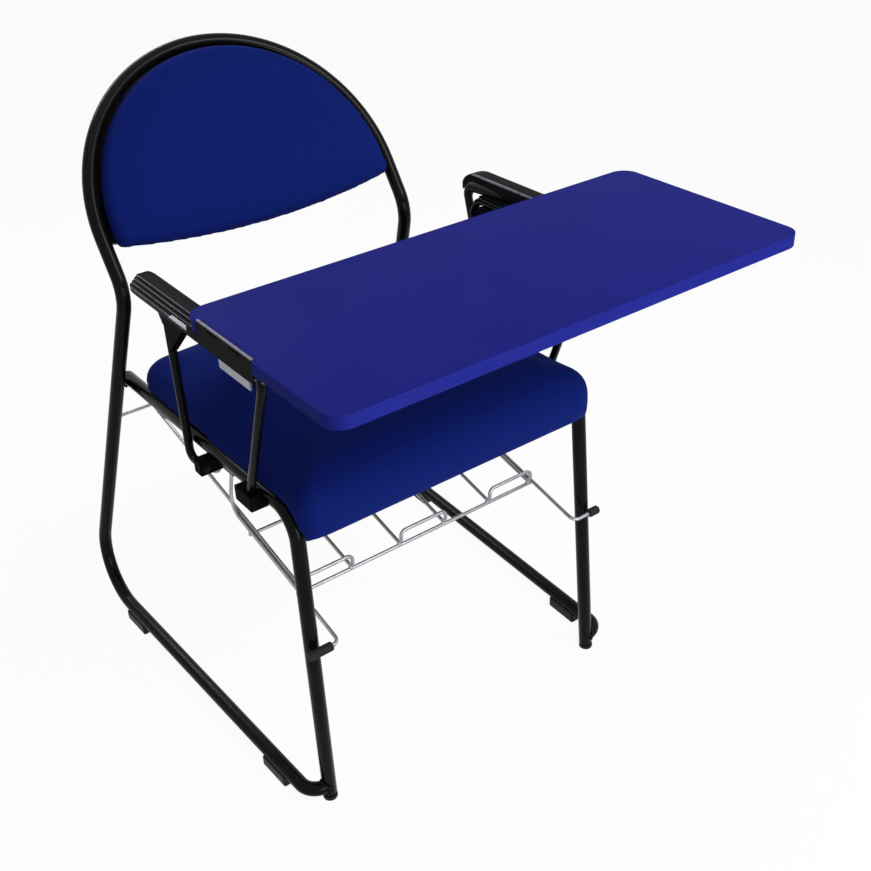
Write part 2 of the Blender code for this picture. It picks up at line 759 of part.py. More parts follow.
def back_tab(label, ray):
    """A steel tab from the hoop's inner side to behind the board."""
    tube_face = HOOP_HALF - math.sqrt(TUBE_R**2 - TAB_FRONT**2)
    sag = HOOP_HALF - math.sqrt(HOOP_HALF**2 - (TAB_WIDTH / 2) ** 2)
    outer = tube_face - WELD_GAP - sag
    across = Vector((-ray.y, ray.x)) * TAB_WIDTH / 2
    corners = []
    for distance, edge in ((outer - TAB_REACH, 1), (outer - TAB_REACH, -1), (outer, -1), (outer, 1)):
        flat = ray * distance + across * edge
        corners.append((flat.x, HOOP_STRAIGHT + flat.y))
    plate("back_tab_" + label, corners, TAB_THICKNESS, "powder_coat", BACK_FRAME,
          location=(0, (TAB_FRONT + TAB_REAR) / 2, 0), rotation=(math.pi / 2, 0, 0))


# Arms


ARM_X = rail_at(ARM_REAR_FOOT_Y).x + TUBE_R + ARM_ROD_R + 2 * FIT_GAP
PAD_X = ARM_X + PAD_OFFSET
PAD_OUTER = PAD_X + PAD_WIDTH / 2
PAD_BOTTOM_Z = PAD_TOP_Z - PAD_THICKNESS
ARM_TOP_Z = PAD_BOTTOM_Z - 2 * FIT_GAP - PAD_BRACKET_THICKNESS - ARM_ROD_R
HOOK_Z = RAIL_FRONT_Z - ARM_HOOK_DROP


def arm_loop(side, sign):
    """The rod, from the rear foot's hooked end, over the top, to the front foot's cut end."""
    front_end = Vector((ARM_X, ARM_FRONT_FOOT_Y, RAIL_FRONT_Z - ARM_FRONT_FOOT_DROP))
    corners = [
        Vector((ARM_X, ARM_REAR_FOOT_Y - ARM_HOOK_RUN, HOOK_Z)),
        Vector((ARM_X, ARM_REAR_FOOT_Y, HOOK_Z)),
        Vector((ARM_X, ARM_REAR_TOP_Y, ARM_TOP_Z)),
        Vector((ARM_X, ARM_FRONT_TOP_Y, ARM_TOP_Z)),
        front_end,
    ]
    path = [corners[0]]
    for i, radius in enumerate((ARM_HOOK_R, ARM_BEND_R, ARM_BEND_R)):
        path += corner_arc(corners[i], corners[i + 1], corners[i + 2], radius)
    path.append(front_end)
    rod("arm_loop_" + side, mirrored(path, sign), ARM_ROD_R, "powder_coat", ROOT, ROD_FACET_COUNT)
    rear_tip = corners[0]
    rear = arm_clamp("rear_" + side, sign, rear_tip.y + FIT_GAP, CLAMP_LENGTH_REAR, HOOK_Z - CLAMP_SOLE, 0)
    cut_rod("arm_clamp_bore_rear_" + side, rear, mirrored([rear_tip, corners[1]], sign), ARM_ROD_R + BORE_GAP)
    front = arm_clamp("front_" + side, sign, ARM_FRONT_FOOT_Y - CLAMP_LENGTH_FRONT / 2, CLAMP_LENGTH_FRONT,
                      front_end.z - CLAMP_SOLE / 2, CLAMP_SHOULDER)
    stop = step_from(front_end, corners[3], -BORE_GAP)
    cut_rod("arm_clamp_bore_front_" + side, front, mirrored([stop, corners[3]], sign), ARM_ROD_R + BORE_GAP)


def cut_rod(name, target, points, radius):
    """Takes a round rod out of a piece."""
    boolean(target, meshed(rod(name, points, radius, "powder_coat", ROOT, TUBE_FACET_COUNT)), "DIFFERENCE")


def arm_clamp(label, sign, start, length, low_z, shoulder):
    """A block that hugs the rail from below and outside, with a bolt up into it."""
    rail = rail_at(start + length / 2)
    lowest = min(rail_at(start).z, rail_at(start + length).z)
    top = rail.z + shoulder if shoulder else lowest - TUBE_R - FIT_GAP
    low = Vector((rail.x - CLAMP_INNER, start, low_z))
    high = Vector((ARM_X + ARM_ROD_R + BORE_GAP + CLAMP_WALL, start + length, top))
    if sign < 0:
        low.x, high.x = -high.x, -low.x
    body = block("arm_clamp_" + label, low, high, "powder_coat", ROOT, bevel=0.0015)
    if shoulder:
        rail_run = mirrored([rail_at(start - length), rail_at(start + 2 * length)], sign)
        cut_rod("arm_clamp_saddle_" + label, body, rail_run, TUBE_R + FIT_GAP)
    foot = Vector((sign * (rail.x - BORE_GAP), start + length / 2, low_z - FIT_GAP))
    grip = (rail.z - TUBE_R - low_z) / 2
    hole = cylinder("arm_bolt_hole_" + label, BOLT_D / 2 + BORE_GAP, foot - Vector((0, 0, BOLT_D)),
                    foot + Vector((0, 0, grip + 2 * BORE_GAP)), "powder_coat", ROOT)
    boolean(body, hole, "DIFFERENCE")
    bolt = cylinder("arm_bolt_" + label, BOLT_HEAD_D / 2, foot - Vector((0, 0, BOLT_HEAD_HEIGHT)), foot,
                    "zinc_plate", ROOT, sides=6)
    shank = cylinder("arm_bolt_shank_" + label, BOLT_D / 2, foot - Vector((0, 0, BOLT_HEAD_HEIGHT / 2)),
                     foot + Vector((0, 0, grip)), "zinc_plate", ROOT, sides=12)
    boolean(bolt, shank, "UNION")
    return body


def pad_section():
    """The pad's cross-section, across and up: flat top, ridged outer shoulder, chamfer below."""
    half = PAD_WIDTH / 2
    below = Vector((-half, 0, 0))
    above = Vector((-half, PAD_THICKNESS, 0))
    shoulder = Vector((half - PAD_SHOULDER_RUN, PAD_THICKNESS, 0))
    brow = Vector((half, PAD_THICKNESS - PAD_SHOULDER_DROP, 0))
    chin = Vector((half - PAD_CHAMFER, 0, 0))
    inwards = Vector((-PAD_SHOULDER_DROP, -PAD_SHOULDER_RUN, 0)).normalized() * RIDGE_DEPTH
    points = [chin, Vector((half, PAD_CHAMFER, 0)), brow]
    for i in range(RIDGE_COUNT):
        low = brow.lerp(shoulder, (i + 0.2) / RIDGE_COUNT)
        valley = brow.lerp(shoulder, (i + 0.5) / RIDGE_COUNT) + inwards
        high = brow.lerp(shoulder, (i + 0.8) / RIDGE_COUNT)
        points += [low, valley, high]
    points.append(shoulder)
    points += corner_arc(shoulder, above, below, PAD_EDGE_R, 3)
    points += corner_arc(above, below, chin, PAD_EDGE_R, 3)
    return [p.to_2d() for p in points]


def arm_pad(side, sign):
    """A moulded pad with long round ends, the rear one drooping over the loop's corner."""
    outline = pad_section()
    sections = []
    for y in round_stations(PAD_FRONT_Y, PAD_REAR_Y, PAD_END_LENGTH, 8):
        front = round_end(y - PAD_FRONT_Y, PAD_END_LENGTH) / PAD_END_LENGTH
        rear = round_end(PAD_REAR_Y - y, PAD_END_LENGTH) / PAD_END_LENGTH
        narrow = 1 - max(front, rear) * PAD_END_DRAW / (PAD_WIDTH / 2)
        flatten = 1 - max(front, rear) * PAD_END_FLATTEN
        base = PAD_BOTTOM_Z - PAD_REAR_DROOP * rear + (1 - flatten) * PAD_THICKNESS / 2
        sections.append([(sign * (PAD_X + p.x * narrow), y, base + p.y * flatten) for p in outline])
    loft("arm_pad_" + side, sections, "black_plastic", ROOT)
    front_bracket(side, sign)
    rear_bracket(side, sign)


BRACKET_TOP = PAD_BOTTOM_Z - FIT_GAP
BRACKET_UNDER = BRACKET_TOP - PAD_BRACKET_THICKNESS
BRACKET_FACE = ARM_X + ARM_ROD_R + FIT_GAP
BRACKET_INNER = ARM_X - ARM_ROD_R
BRACKET_OUTER = PAD_OUTER - PAD_CHAMFER - PAD_EDGE_R


def angle_outline(low):
    """An angle seen end on: one leg under the pad, the other down the outside of the rod."""
    back = BRACKET_FACE + PAD_BRACKET_THICKNESS
    return [(BRACKET_INNER, BRACKET_TOP), (BRACKET_INNER, BRACKET_UNDER), (BRACKET_FACE, BRACKET_UNDER),
            (BRACKET_FACE, low), (back, low), (back, BRACKET_UNDER), (BRACKET_OUTER, BRACKET_UNDER),
            (BRACKET_OUTER, BRACKET_TOP)]


def front_bracket(side, sign):
    """A plated angle."""
    flat = [(sign * x, z) for x, z in angle_outline(BRACKET_TOP - PAD_BRACKET_DROP)]
    front, rear = PAD_BRACKET_FRONT
    plate("pad_bracket_front_" + side, flat, rear - front, "zinc_plate", ROOT,
          location=(0, (front + rear) / 2, 0), rotation=(math.pi / 2, 0, 0))


def rear_bracket(side, sign):
    """A coated angle with a web that fills the inside of the rod's rear bend."""
    front, rear = PAD_BRACKET_REAR
    angle = angle_outline(BRACKET_TOP - PAD_BRACKET_LIP)
    ends = [[(sign * x, y, z) for x, z in angle] for y in (front, rear)]
    bracket = loft("pad_bracket_rear_" + side, ends, "powder_coat", ROOT)
    off = ARM_ROD_R + 2 * FIT_GAP
    low = BRACKET_TOP - WEB_DROP
    under = ARM_TOP_Z - off
    rod_y = ARM_REAR_FOOT_Y + (ARM_REAR_TOP_Y - ARM_REAR_FOOT_Y) * (low - HOOK_Z) / (ARM_TOP_Z - HOOK_Z)
    foot = Vector((0, rod_y - off, low))
    top = Vector((0, ARM_REAR_TOP_Y - off, under))
    far = Vector((0, front, under))
    edge = [foot] + corner_arc(foot, top, far, ARM_BEND_R - ARM_ROD_R) + [far]
    edge += [far - Vector((0, 0, WEB_TIP)), foot - Vector((0, WEB_TIP, 0))]
    faces = (ARM_X - WEB_INNER, BRACKET_FACE + PAD_BRACKET_THICKNESS)
    web = loft("arm_web_" + side, [[(sign * x, p.y, p.z) for p in edge] for x in faces], "powder_coat", ROOT)
    boolean(bracket, web, "UNION")


# Writing tablet, hinged on the right arm


TABLET_BOTTOM_Z = PAD_TOP_Z + TABLET_LIFT
TABLET_RIGHT_X = -(PAD_OUTER + TABLET_OVERHANG)
HINGE_X = TABLET_RIGHT_X + FIT_GAP + KNUCKLE_R
HINGE_Z = TABLET_BOTTOM_Z + TABLET_THICKNESS - KNUCKLE_R + KNUCKLE_RISE
HINGE_FRAME = empty("tablet_hinge", (HINGE_X, 0, HINGE_Z), (0, 0, 0), ROOT)


def tablet_outline(shrink):
    """The tablet seen from above, with a notch for the hinge in its right edge."""
    left, right = TABLET_LEFT_X - HINGE_X - shrink, TABLET_RIGHT_X - HINGE_X + shrink
    front, rear = TABLET_FRONT_Y + shrink, TABLET_REAR_Y - shrink
    corners = [(right, front, 0), (left, front, 0), (left, rear, 0), (right, rear, 0)]
    wall = KNUCKLE_R + FIT_GAP + shrink
    notch_front = HINGE_FRONT_Y - NOTCH_END_GAP - shrink
    notch_rear = HINGE_REAR_Y + NOTCH_END_GAP + shrink
    notch = [(right, notch_rear, 0), (wall, notch_rear, 0), (wall, notch_front, 0), (right, notch_front, 0)]
    return rounded_outline(corners, TABLET_CORNER_R - shrink) + [Vector(p) for p in notch]


def tablet():
    middle = (0, 0, TABLET_BOTTOM_Z + TABLET_THICKNESS / 2 - HINGE_Z)
    plate("tablet_board", tablet_outline(EDGE_BAND + FIT_GAP), TABLET_THICKNESS, "blue_laminate",
          HINGE_FRAME, location=middle)
    band("tablet_edge_band", tablet_outline(0), tablet_outline(EDGE_BAND), TABLET_THICKNESS,
         "blue_edging", HINGE_FRAME, middle)
    rest_x = PAD_X - HINGE_X
    low = PAD_TOP_Z + FIT_GAP - HINGE_Z
    high = TABLET_BOTTOM_Z - FIT_GAP - HINGE_Z
    cylinder("tablet_rest", REST_D / 2, (rest_x, REST_Y, low), (rest_x, REST_Y, high), "black_rubber",
             HINGE_FRAME)


def knuckle_spans(first):
    """The stretches of the barrel that belong to one leaf: every second one."""
    pitch = (HINGE_REAR_Y - HINGE_FRONT_Y) / KNUCKLE_COUNT
    starts = [HINGE_FRONT_Y + pitch * i for i in range(first, KNUCKLE_COUNT, 2)]
    return [(y + KNUCKLE_GAP / 2, y + pitch - KNUCKLE_GAP / 2) for y in starts]


def hinge_leaf(name, first, plates, near, far, parent):
    """A leaf of flat plates, tongues up to its knuckles, the knuckles, and the bore for the pin."""
    leaf = block(name, *plates[0], "powder_coat", parent)
    for i, ends in enumerate(plates[1:]):
        boolean(leaf, block(f"{name}_riser_{i}", *ends, "powder_coat", parent), "UNION")
    for i, (start, end) in enumerate(knuckle_spans(first)):
        root = -KNUCKLE_R - KNUCKLE_GAP - LEAF_THICKNESS
        strip = block(f"{name}_tongue_{i}", (near, start, root), (far, end, 0), "powder_coat", parent)
        boolean(leaf, strip, "UNION")
        barrel = cylinder(f"{name}_knuckle_{i}", KNUCKLE_R, (0, start, 0), (0, end, 0), "powder_coat", parent)
        boolean(leaf, barrel, "UNION")
    bore = cylinder(name + "_bore", PIN_D / 2 + RUNNING_GAP, (0, HINGE_FRONT_Y - PIN_D, 0),
                    (0, HINGE_REAR_Y + PIN_D, 0), "powder_coat", parent, sides=12)
    boolean(leaf, bore, "DIFFERENCE")


def hinge():
    """Laid out about the pin's axis: one leaf in the tablet's notch, one on a bar beside the pad."""
    clear = KNUCKLE_R + KNUCKLE_GAP
    inner, outer = KNUCKLE_R - LEAF_THICKNESS, KNUCKLE_R
    foot = TABLET_BOTTOM_Z + FIT_GAP - HINGE_Z
    hinge_leaf("hinge_leaf_tablet", 1, [((inner, HINGE_FRONT_Y, foot), (outer, HINGE_REAR_Y, -clear))],
               inner, outer, HINGE_FRAME)
    shelf = TABLET_BOTTOM_Z - LEAF_TABLET_GAP - HINGE_Z
    bar_top = PAD_TOP_Z - HINGE_BAR_DROP
    bar_low = bar_top - HINGE_BAR_HEIGHT
    low_plate = ((-outer, HINGE_FRONT_Y, bar_low - HINGE_Z), (-inner, LEAF_REAR_Y, shelf))
    riser = ((-outer, HINGE_FRONT_Y, shelf - LEAF_THICKNESS), (-inner, HINGE_REAR_Y, -clear))
    hinge_leaf("hinge_leaf_arm", 0, [low_plate, riser], -outer, -inner, HINGE_FRAME)
    block("hinge_bar", (HINGE_X - inner + FIT_GAP, PAD_FRONT_Y + PAD_END_LENGTH / 2, bar_low),
          (-PAD_OUTER - FIT_GAP, HINGE_BAR_REAR_Y, bar_top), "zinc_plate", ROOT)
    cylinder("hinge_pin", PIN_D / 2, (0, HINGE_FRONT_Y - KNUCKLE_GAP, 0), (0, HINGE_REAR_Y + KNUCKLE_GAP, 0),
             "zinc_plate", HINGE_FRAME, sides=12)


# Basket


def floor_z(y):
    return BASKET_FLOOR_Z + BASKET_SLOPE * (y - BASKET_FLOOR_Y)


WIRE_STEP = (WIRE_D + FIT_GAP) * math.hypot(1, BASKET_SLOPE)


def rear_bar_z():
    """The height at which the floor's slope meets the rear legs, one wire lower."""
    run = (RUNNER_REAR_Y - KINK_Y) / (KINK_Z - RUNNER_Z)
    return (floor_z(RUNNER_REAR_Y + run * RUNNER_Z) - WIRE_STEP) / (1 + BASKET_SLOPE * run)


def board_underside(y):
    return RAIL_FRONT_Z + (y - LEG_TOP_Y) * math.tan(RAIL_SLOPE) - TUBE_R / math.cos(RAIL_SLOPE)


BASKET_HALF = leg_at(BASKET_FLOOR_Z).x - TUBE_R - WIRE_R - BASKET_SIDE_GAP
BASKET_HOOK_TIP = leg_at(BASKET_FLOOR_Z).x + BASKET_HOOK_REACH
TRAY_PITCH = BASKET_HALF - WIRE_D - FIT_GAP - TRAY_HALF
HOOK_FRONT_Y = leg_at(BASKET_FLOOR_Z).y - TUBE_R - SLEEVE_OD / 2 - SLEEVE_LEG_GAP


def basket_side(side, sign):
    x = sign * BASKET_HALF
    tilt = BASKET_TOP_LEAN / (board_underside(BASKET_BACK_Y) - floor_z(BASKET_BACK_Y))
    top = board_underside(BASKET_BACK_Y) - FIT_GAP - WIRE_R * tilt
    hook_z = floor_z(HOOK_FRONT_Y)
    corners = [Vector((x - sign * BASKET_TOP_LEAN, BASKET_BACK_Y, top)),
               Vector((x, BASKET_BACK_Y, floor_z(BASKET_BACK_Y))),
               Vector((x, HOOK_FRONT_Y, hook_z)),
               Vector((sign * BASKET_HOOK_TIP, HOOK_FRONT_Y, hook_z))]
    path = [corners[0]] + corner_arc(*corners[:3], BASKET_BACK_R)
    path += corner_arc(*corners[1:], BASKET_HOOK_R) + [corners[3]]
    rod("basket_side_wire_" + side, path, WIRE_R, "zinc_plate", ROOT)
    end = sign * (BASKET_HOOK_TIP + SLEEVE_END)
    start = sign * (BASKET_HALF + BASKET_HOOK_R + SLEEVE_START[side])
    ends = [Vector((start, HOOK_FRONT_Y, hook_z)), Vector((end, HOOK_FRONT_Y, hook_z))]
    sleeve = cylinder("basket_sleeve_" + side, SLEEVE_OD / 2, ends[0], ends[1], "black_rubber", ROOT)
    tip = BASKET_HOOK_TIP + FIT_GAP
    bore = [Vector((start - sign * WIRE_D, HOOK_FRONT_Y, hook_z)), Vector((sign * tip, HOOK_FRONT_Y, hook_z))]
    hollow = cylinder("basket_sleeve_bore_" + side, WIRE_R + BORE_GAP, bore[0], bore[1], "black_rubber", ROOT)
    boolean(sleeve, hollow, "DIFFERENCE")


def basket_floor():
    reach = BASKET_HALF + WIRE_R
    for name, y in (("basket_front_rail", BASKET_FLOOR_Y), ("basket_cross_wire", BASKET_CROSS_Y)):
        z = floor_z(y) - WIRE_STEP
        rod(name, [(-reach, y, z), (reach, y, z)], WIRE_R, "zinc_plate", ROOT)
    leg = rear_leg_at(rear_bar_z())
    reach = leg.x - TUBE_R - 2 * WELD_GAP
    rod("basket_rear_bar", [(-reach, leg.y, leg.z), (reach, leg.y, leg.z)], WIRE_R, "zinc_plate", ROOT)
    for i, label in enumerate(("right", "middle", "left")):
        tray_wire(label, (i - 1) * TRAY_PITCH, BASKET_FLOOR_Y - TRAY_OVERRUN, leg.y + TRAY_OVERRUN)


def tray_wire(label, centre, front_y, rear_y):
    """Two floor wires in one piece, joined by a lip that stands up at the front."""
    low, high = centre - TRAY_HALF, centre + TRAY_HALF
    front_z = floor_z(front_y)
    rear_z = floor_z(rear_y)
    corners = [(low, rear_y, rear_z), (low, front_y, front_z), (low, front_y, front_z + TRAY_LIP),
               (high, front_y, front_z + TRAY_LIP), (high, front_y, front_z), (high, rear_y, rear_z)]
    path = rounded_path(corners, TRAY_LIP_R, 4)
    rod("basket_tray_wire_" + label, path, WIRE_R, "zinc_plate", ROOT)


def centre_on_floor():
    """Moves the whole chair so that the origin is under the middle of its box."""
    bpy.context.view_layer.update()
    graph = bpy.context.evaluated_depsgraph_get()
    low = Vector((math.inf,) * 3)
    high = -low
    for obj in PARTS.objects:
        if obj.type == "EMPTY":
            continue
        solid = obj.evaluated_get(graph)
        mesh = solid.to_mesh()
        for vert in mesh.vertices:
            point = solid.matrix_world @ vert.co
            low = Vector(map(min, low, point))
            high = Vector(map(max, high, point))
        solid.to_mesh_clear()
    ROOT.location = (-(low.x + high.x) / 2, -(low.y + high.y) / 2, -low.z)


def main():
    back_hoop()
    for side, sign in SIDES:
        front_leg_and_rail(side, sign)
        runner_and_rear_leg(side, sign)
        arm_loop(side, sign)
        arm_pad(side, sign)
        basket_side(side, sign)
    seat_bars_and_board()
    seat_cushion()
    back_rest()
    tablet()
    hinge()
    basket_floor()
    centre_on_floor()


main()
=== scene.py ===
"""Looks for the training chair: bent black tube, stuffed blue seat and back, arms, tablet, basket.

Lengths are metres in the chair's own layout: X to the sitter's left, Y to the rear, Z up, with
the origin on the floor midway between the front legs. HOME moves that layout onto the CAD frame.
"""

import math

import bmesh
import bpy
from mathutils import Matrix, Vector


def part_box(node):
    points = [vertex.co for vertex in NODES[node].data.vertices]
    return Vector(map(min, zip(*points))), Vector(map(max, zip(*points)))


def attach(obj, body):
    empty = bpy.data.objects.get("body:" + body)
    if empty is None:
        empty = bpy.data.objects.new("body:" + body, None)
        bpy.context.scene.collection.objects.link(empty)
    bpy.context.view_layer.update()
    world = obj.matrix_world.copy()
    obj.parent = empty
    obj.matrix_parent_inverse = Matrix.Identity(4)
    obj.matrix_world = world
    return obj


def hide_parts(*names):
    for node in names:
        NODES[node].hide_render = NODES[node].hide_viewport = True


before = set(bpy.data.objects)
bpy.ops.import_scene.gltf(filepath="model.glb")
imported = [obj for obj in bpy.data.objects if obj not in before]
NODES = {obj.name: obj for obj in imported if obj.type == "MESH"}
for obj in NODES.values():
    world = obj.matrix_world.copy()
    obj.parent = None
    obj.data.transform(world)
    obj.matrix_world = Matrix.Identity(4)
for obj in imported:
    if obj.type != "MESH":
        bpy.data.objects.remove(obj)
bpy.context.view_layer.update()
SIDES = (("right", -1), ("left", 1))


def middle_of(node):
    low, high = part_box(node)
    return (low + high) / 2


LEG_FOOT = Vector((0.226, -0.232, 0))
HOME = Vector((middle_of("seat_board").x, middle_of("leg_cap_left").y - LEG_FOOT.y, 0))

# Frame tube
TUBE_R = 0.0095
TUBE_SIDES = 28
WELD_GAP = 0.0006
CUT_TIP = 0.0008
TIP_TURNS = (0.0, 0.52, 1.05)
RAIL_FRONT_Z = 0.430
RAIL_REAR_Z = 0.419
RAIL_OVERRUN = 0.012
LEG_TOP_Y = -0.2055
LEG_BEND_R = 0.038
LEG_CAP = 0.006
LEG_TIP = 0.003
RUNNER_Z = 0.0198
RUNNER_START = TUBE_R * 0.8
RUNNER_TURN_X = 0.253
RUNNER_TURN_R = 0.024
REAR_FOOT = Vector((0.273, 0.373, RUNNER_Z))
REAR_BEND_R = 0.075
KINK = Vector((0.2225, 0.174, 0.568))
KINK_R = 0.055
HOOP_STRAIGHT = 0.0765
HOOP_STEPS = 64
HOOP_LEAN = math.radians(34)
HOOP_UP = Vector((0, math.sin(HOOP_LEAN), math.cos(HOOP_LEAN)))

RAIL_MEETS = REAR_FOOT.lerp(KINK, (RAIL_REAR_Z - RUNNER_Z) / (KINK.z - RUNNER_Z))
RAIL_X = RAIL_MEETS.x - 2 * TUBE_R - WELD_GAP
RAIL_END = Vector((RAIL_X, RAIL_MEETS.y + RAIL_OVERRUN, RAIL_REAR_Z))
LEG_TOP = Vector((RAIL_X, LEG_TOP_Y, RAIL_FRONT_Z))
RAIL_SLOPE = (RAIL_REAR_Z - RAIL_FRONT_Z) / (RAIL_END.y - LEG_TOP_Y)

# Weld beads, with their ripples and ends as shares of a bead's radius
BEAD_SIDES = 10
BEAD_LEAST_STEPS = 8
BEAD_END = 0.25
BEAD_NEAR_END = 0.7
RIPPLE_STEP = 0.35
RIPPLE_MEAN = 0.86
RIPPLE_RISE = 0.14
RIPPLE_TURN = 2.1
RUNNER_BEAD_R = 0.0016
RUNNER_BEAD_STEPS = 24
RUNNER_BEAD_ROUND = TUBE_R + 0.0004
RUNNER_BEAD_OUT = 0.0008
RAIL_BEAD_R = 0.0018
RAIL_BEAD_UP = 0.0048
RAIL_BEAD_HALF = 0.008

# Arm rods
ROD_R = 0.0055
ROD_SIDES = 22
ARM_X = RAIL_X + TUBE_R + ROD_R + WELD_GAP
ARM_TOP_Z = 0.6255
ARM_FRONT_Y = -0.207
ARM_REAR_Y = 0.027
ARM_BEND_R = 0.025
ARM_FOOT_Y = -0.128
ARM_FOOT_Z = RAIL_FRONT_Z - 0.015
HOOK_Z = 0.4025
HOOK_FRONT_Y = -0.0195
HOOK_REAR_Y = 0.0245
HOOK_BEND_R = 0.011

# Arm pads
PAD_X = ARM_X + 0.02065
PAD_HALF = 0.01625
PAD_BOTTOM_Z = 0.634
PAD_THICK = 0.022
PAD_FRONT_Y = -0.250
PAD_REAR_Y = 0.056
PAD_END_LENGTH = 0.030
PAD_REAR_LENGTH = 0.034
PAD_TIP_STEPS = 14
PAD_SPAN_STEPS = 40
PAD_END_DRAW = 0.0145
PAD_END_FLATTEN = 0.62
PAD_END_LIFT = 0.45
PAD_REAR_DROOP = 0.0113
PAD_REAR_FLATTEN = 0.55
PAD_CHAMFER = 0.006
PAD_CHAMFER_MIDDLE = (0.0022, 0.0030)
PAD_CORNER = 0.005
PAD_CORNER_STEPS = 6
PAD_SHOULDER = Vector((0.012, 0.010))
PAD_RIDGE = 0.0016
PAD_RIDGES = 3
PAD_RIDGE_STEPS = 30
PAD_RIDGE_FADE = 1.5

# Heels of the pads, with X counted from the rod
HEEL_PATH = ((0.012, -0.060, 0.638), (0.004, 0.0468, 0.638), (0.0, 0.0290, 0.588))
HEEL_BEND_R = 0.013
HEEL_R = 0.0078
HEEL_TIP_R = 0.004
HEEL_TIP_STEPS = 8
HEEL_TAPER = 1.6
HEEL_SIDES = 20

# Basket
WIRE_R = 0.0025
WIRE_SIDES = 14
WIRE_TIP = 0.0005
WIRE_GAP = 0.0003
FLOOR_Z = 0.268
FLOOR_Y = -0.143
FLOOR_SLOPE = 0.24
CROSS_Y = -0.030
SIDE_INSET = 0.017
SIDE_BACK_Y = 0.020
SIDE_LEAN = 0.018
SIDE_BENDS = (0.030, 0.010)
SIDE_BEND_STEPS = 12
HOOK_GAP = 0.0028
HOOK_REACH = 0.0134
SLEEVE_R = 0.006
SLEEVE_SIDES = 20
SLEEVE_TIP = 0.0022
SLEEVE_START = {"right": 0.0103, "left": 0.027}
SLEEVE_OVER = 0.002
TRAY_HALF = 0.0365
TRAY_LIP = 0.022
TRAY_OVERHANG = 0.006
TRAY_BEND_R = 0.008
TRAY_BEND_STEPS = 8
SPOT_WELD = ((0.0006, -0.0030), (0.0024, -0.0020), (0.0031, 0), (0.0024, 0.0020), (0.0006, 0.0030))
SPOT_WELD_SIDES = 12
SPOT_INTO_LEG = 0.0005

# Cushions, each in a flat layout of its own
SEAT_SLOPE = math.atan2(RAIL_REAR_Z - RAIL_FRONT_Z, RAIL_END.y - LEG_TOP_Y)
SEAT_HOME = Matrix.Translation(HOME + Vector((0, LEG_TOP_Y, RAIL_FRONT_Z)))
SEAT_PLACE = SEAT_HOME @ Matrix.Rotation(SEAT_SLOPE, 4, "X")
BACK_HOME = Matrix.Translation(HOME + Vector((0, KINK.y, KINK.z)))
BACK_PLACE = BACK_HOME @ Matrix.Rotation(-HOOP_LEAN, 4, "X")
COVER = {
    "quality": 5,
    "mass": 0.3,
    "tension_stiffness": 12,
    "compression_stiffness": 12,
    "shear_stiffness": 6,
    "bending_stiffness": 1.5,
    "use_pressure": True,
    "uniform_pressure_force": 4,
    "vertex_group_mass": "stapled",
}
SWELL_FRAMES = 20
EVENING_TURNS = 12
SMOOTHING_SHARE = 0.5
SEAT_CELL = 0.005
SEAT_SWELL = 0.006
SEAT_SMOOTHING = 4
SEAT_REST_Z = 0.0125
SEAT_TOP_Z = SEAT_REST_Z + 0.004
SEAT_DRAW = 0.0025
SEAT_EDGE_X = 0.190
SEAT_EDGE_FADE = 0.030
SEAT_EDGE_DRAW = 0.003
SEAT_HEM_Z = -0.026
SEAT_NOSE_Y = -0.040
LEG_FRONT_Y = -0.0125
NOSE_FROM_Y = LEG_FRONT_Y - 0.006
NOSE_DRAW = 0.0015
HEM_TUCK = 0.011
HEM_DROP = 0.004
HEM_HELD = 0.012
RAIL_SKIRT = 0.004
SKIRT_INSET = 0.004
SKIRT_FADE = 0.005
SKIRT_TOP_Z = SEAT_REST_Z + 0.006
SKIRT_SPREAD = 0.012
STAPLE_FRONT_Y = LEG_FRONT_Y - 0.004
STAPLE_FADE = 0.010
BACK_CELL = 0.004
BACK_SLANT = math.radians(31)
BACK_SWELL = 0.005
BACK_SMOOTHING = 5
BACK_DRAW = 0.002
BACK_SPREAD = 1.004
SEAM_Y = -0.008
SEAM_FADE = 0.014
FACE_FROM_Y = SEAM_Y - 0.004

# Fasteners, with the screw's foot, dome and hexagon as shares of its head's radius
SCREW_HEAD = 0.010
SCREW_SIDES = 24
SCREW_SINK = 0.0002
SCREW_FOOT = 0.98
SCREW_DOME = ((0.97, 0.32), (0.82, 0.52), (0.60, 0.60), (0.52, 0.60), (0.45, 0.15))
SCREW_HEX = 0.42
COVER_SCREW_ANGLES = (8, 58)
COVER_SCREW_INSET = 0.050
COVER_FACE_Y = 0.0166
BAR_DEPTHS = (0.150, 0.335)
BAR_SCREW_X = 0.150
BAR_FACE = 0.0043
BRACKET_BOLT_Y = -0.2055
BRACKET_BOLT_Z = 0.6105
BRACKET_BOLT_OUT = (0, -0.936, -0.351)
BRACKET_BOLT_HEAD = 0.009

# Eased edges, after the angles past which an edge is sharp and past which it is eased
SHARP = math.radians(38)
EASED = math.radians(35)
EASE_STEPS = 2
ROUND_STEPS = 3
CLAMP_EASE = 0.0022
BRACKET_EASE = 0.0006
BAND_EASE = 0.0009

# Studio: the dome's level as light and as seen, the paper's own glow and half the floor's side
DOME_LIGHT = 0.20
DOME_SEEN = 1.0
PAPER_GLOW = 0.94
FLOOR_HALF = 9
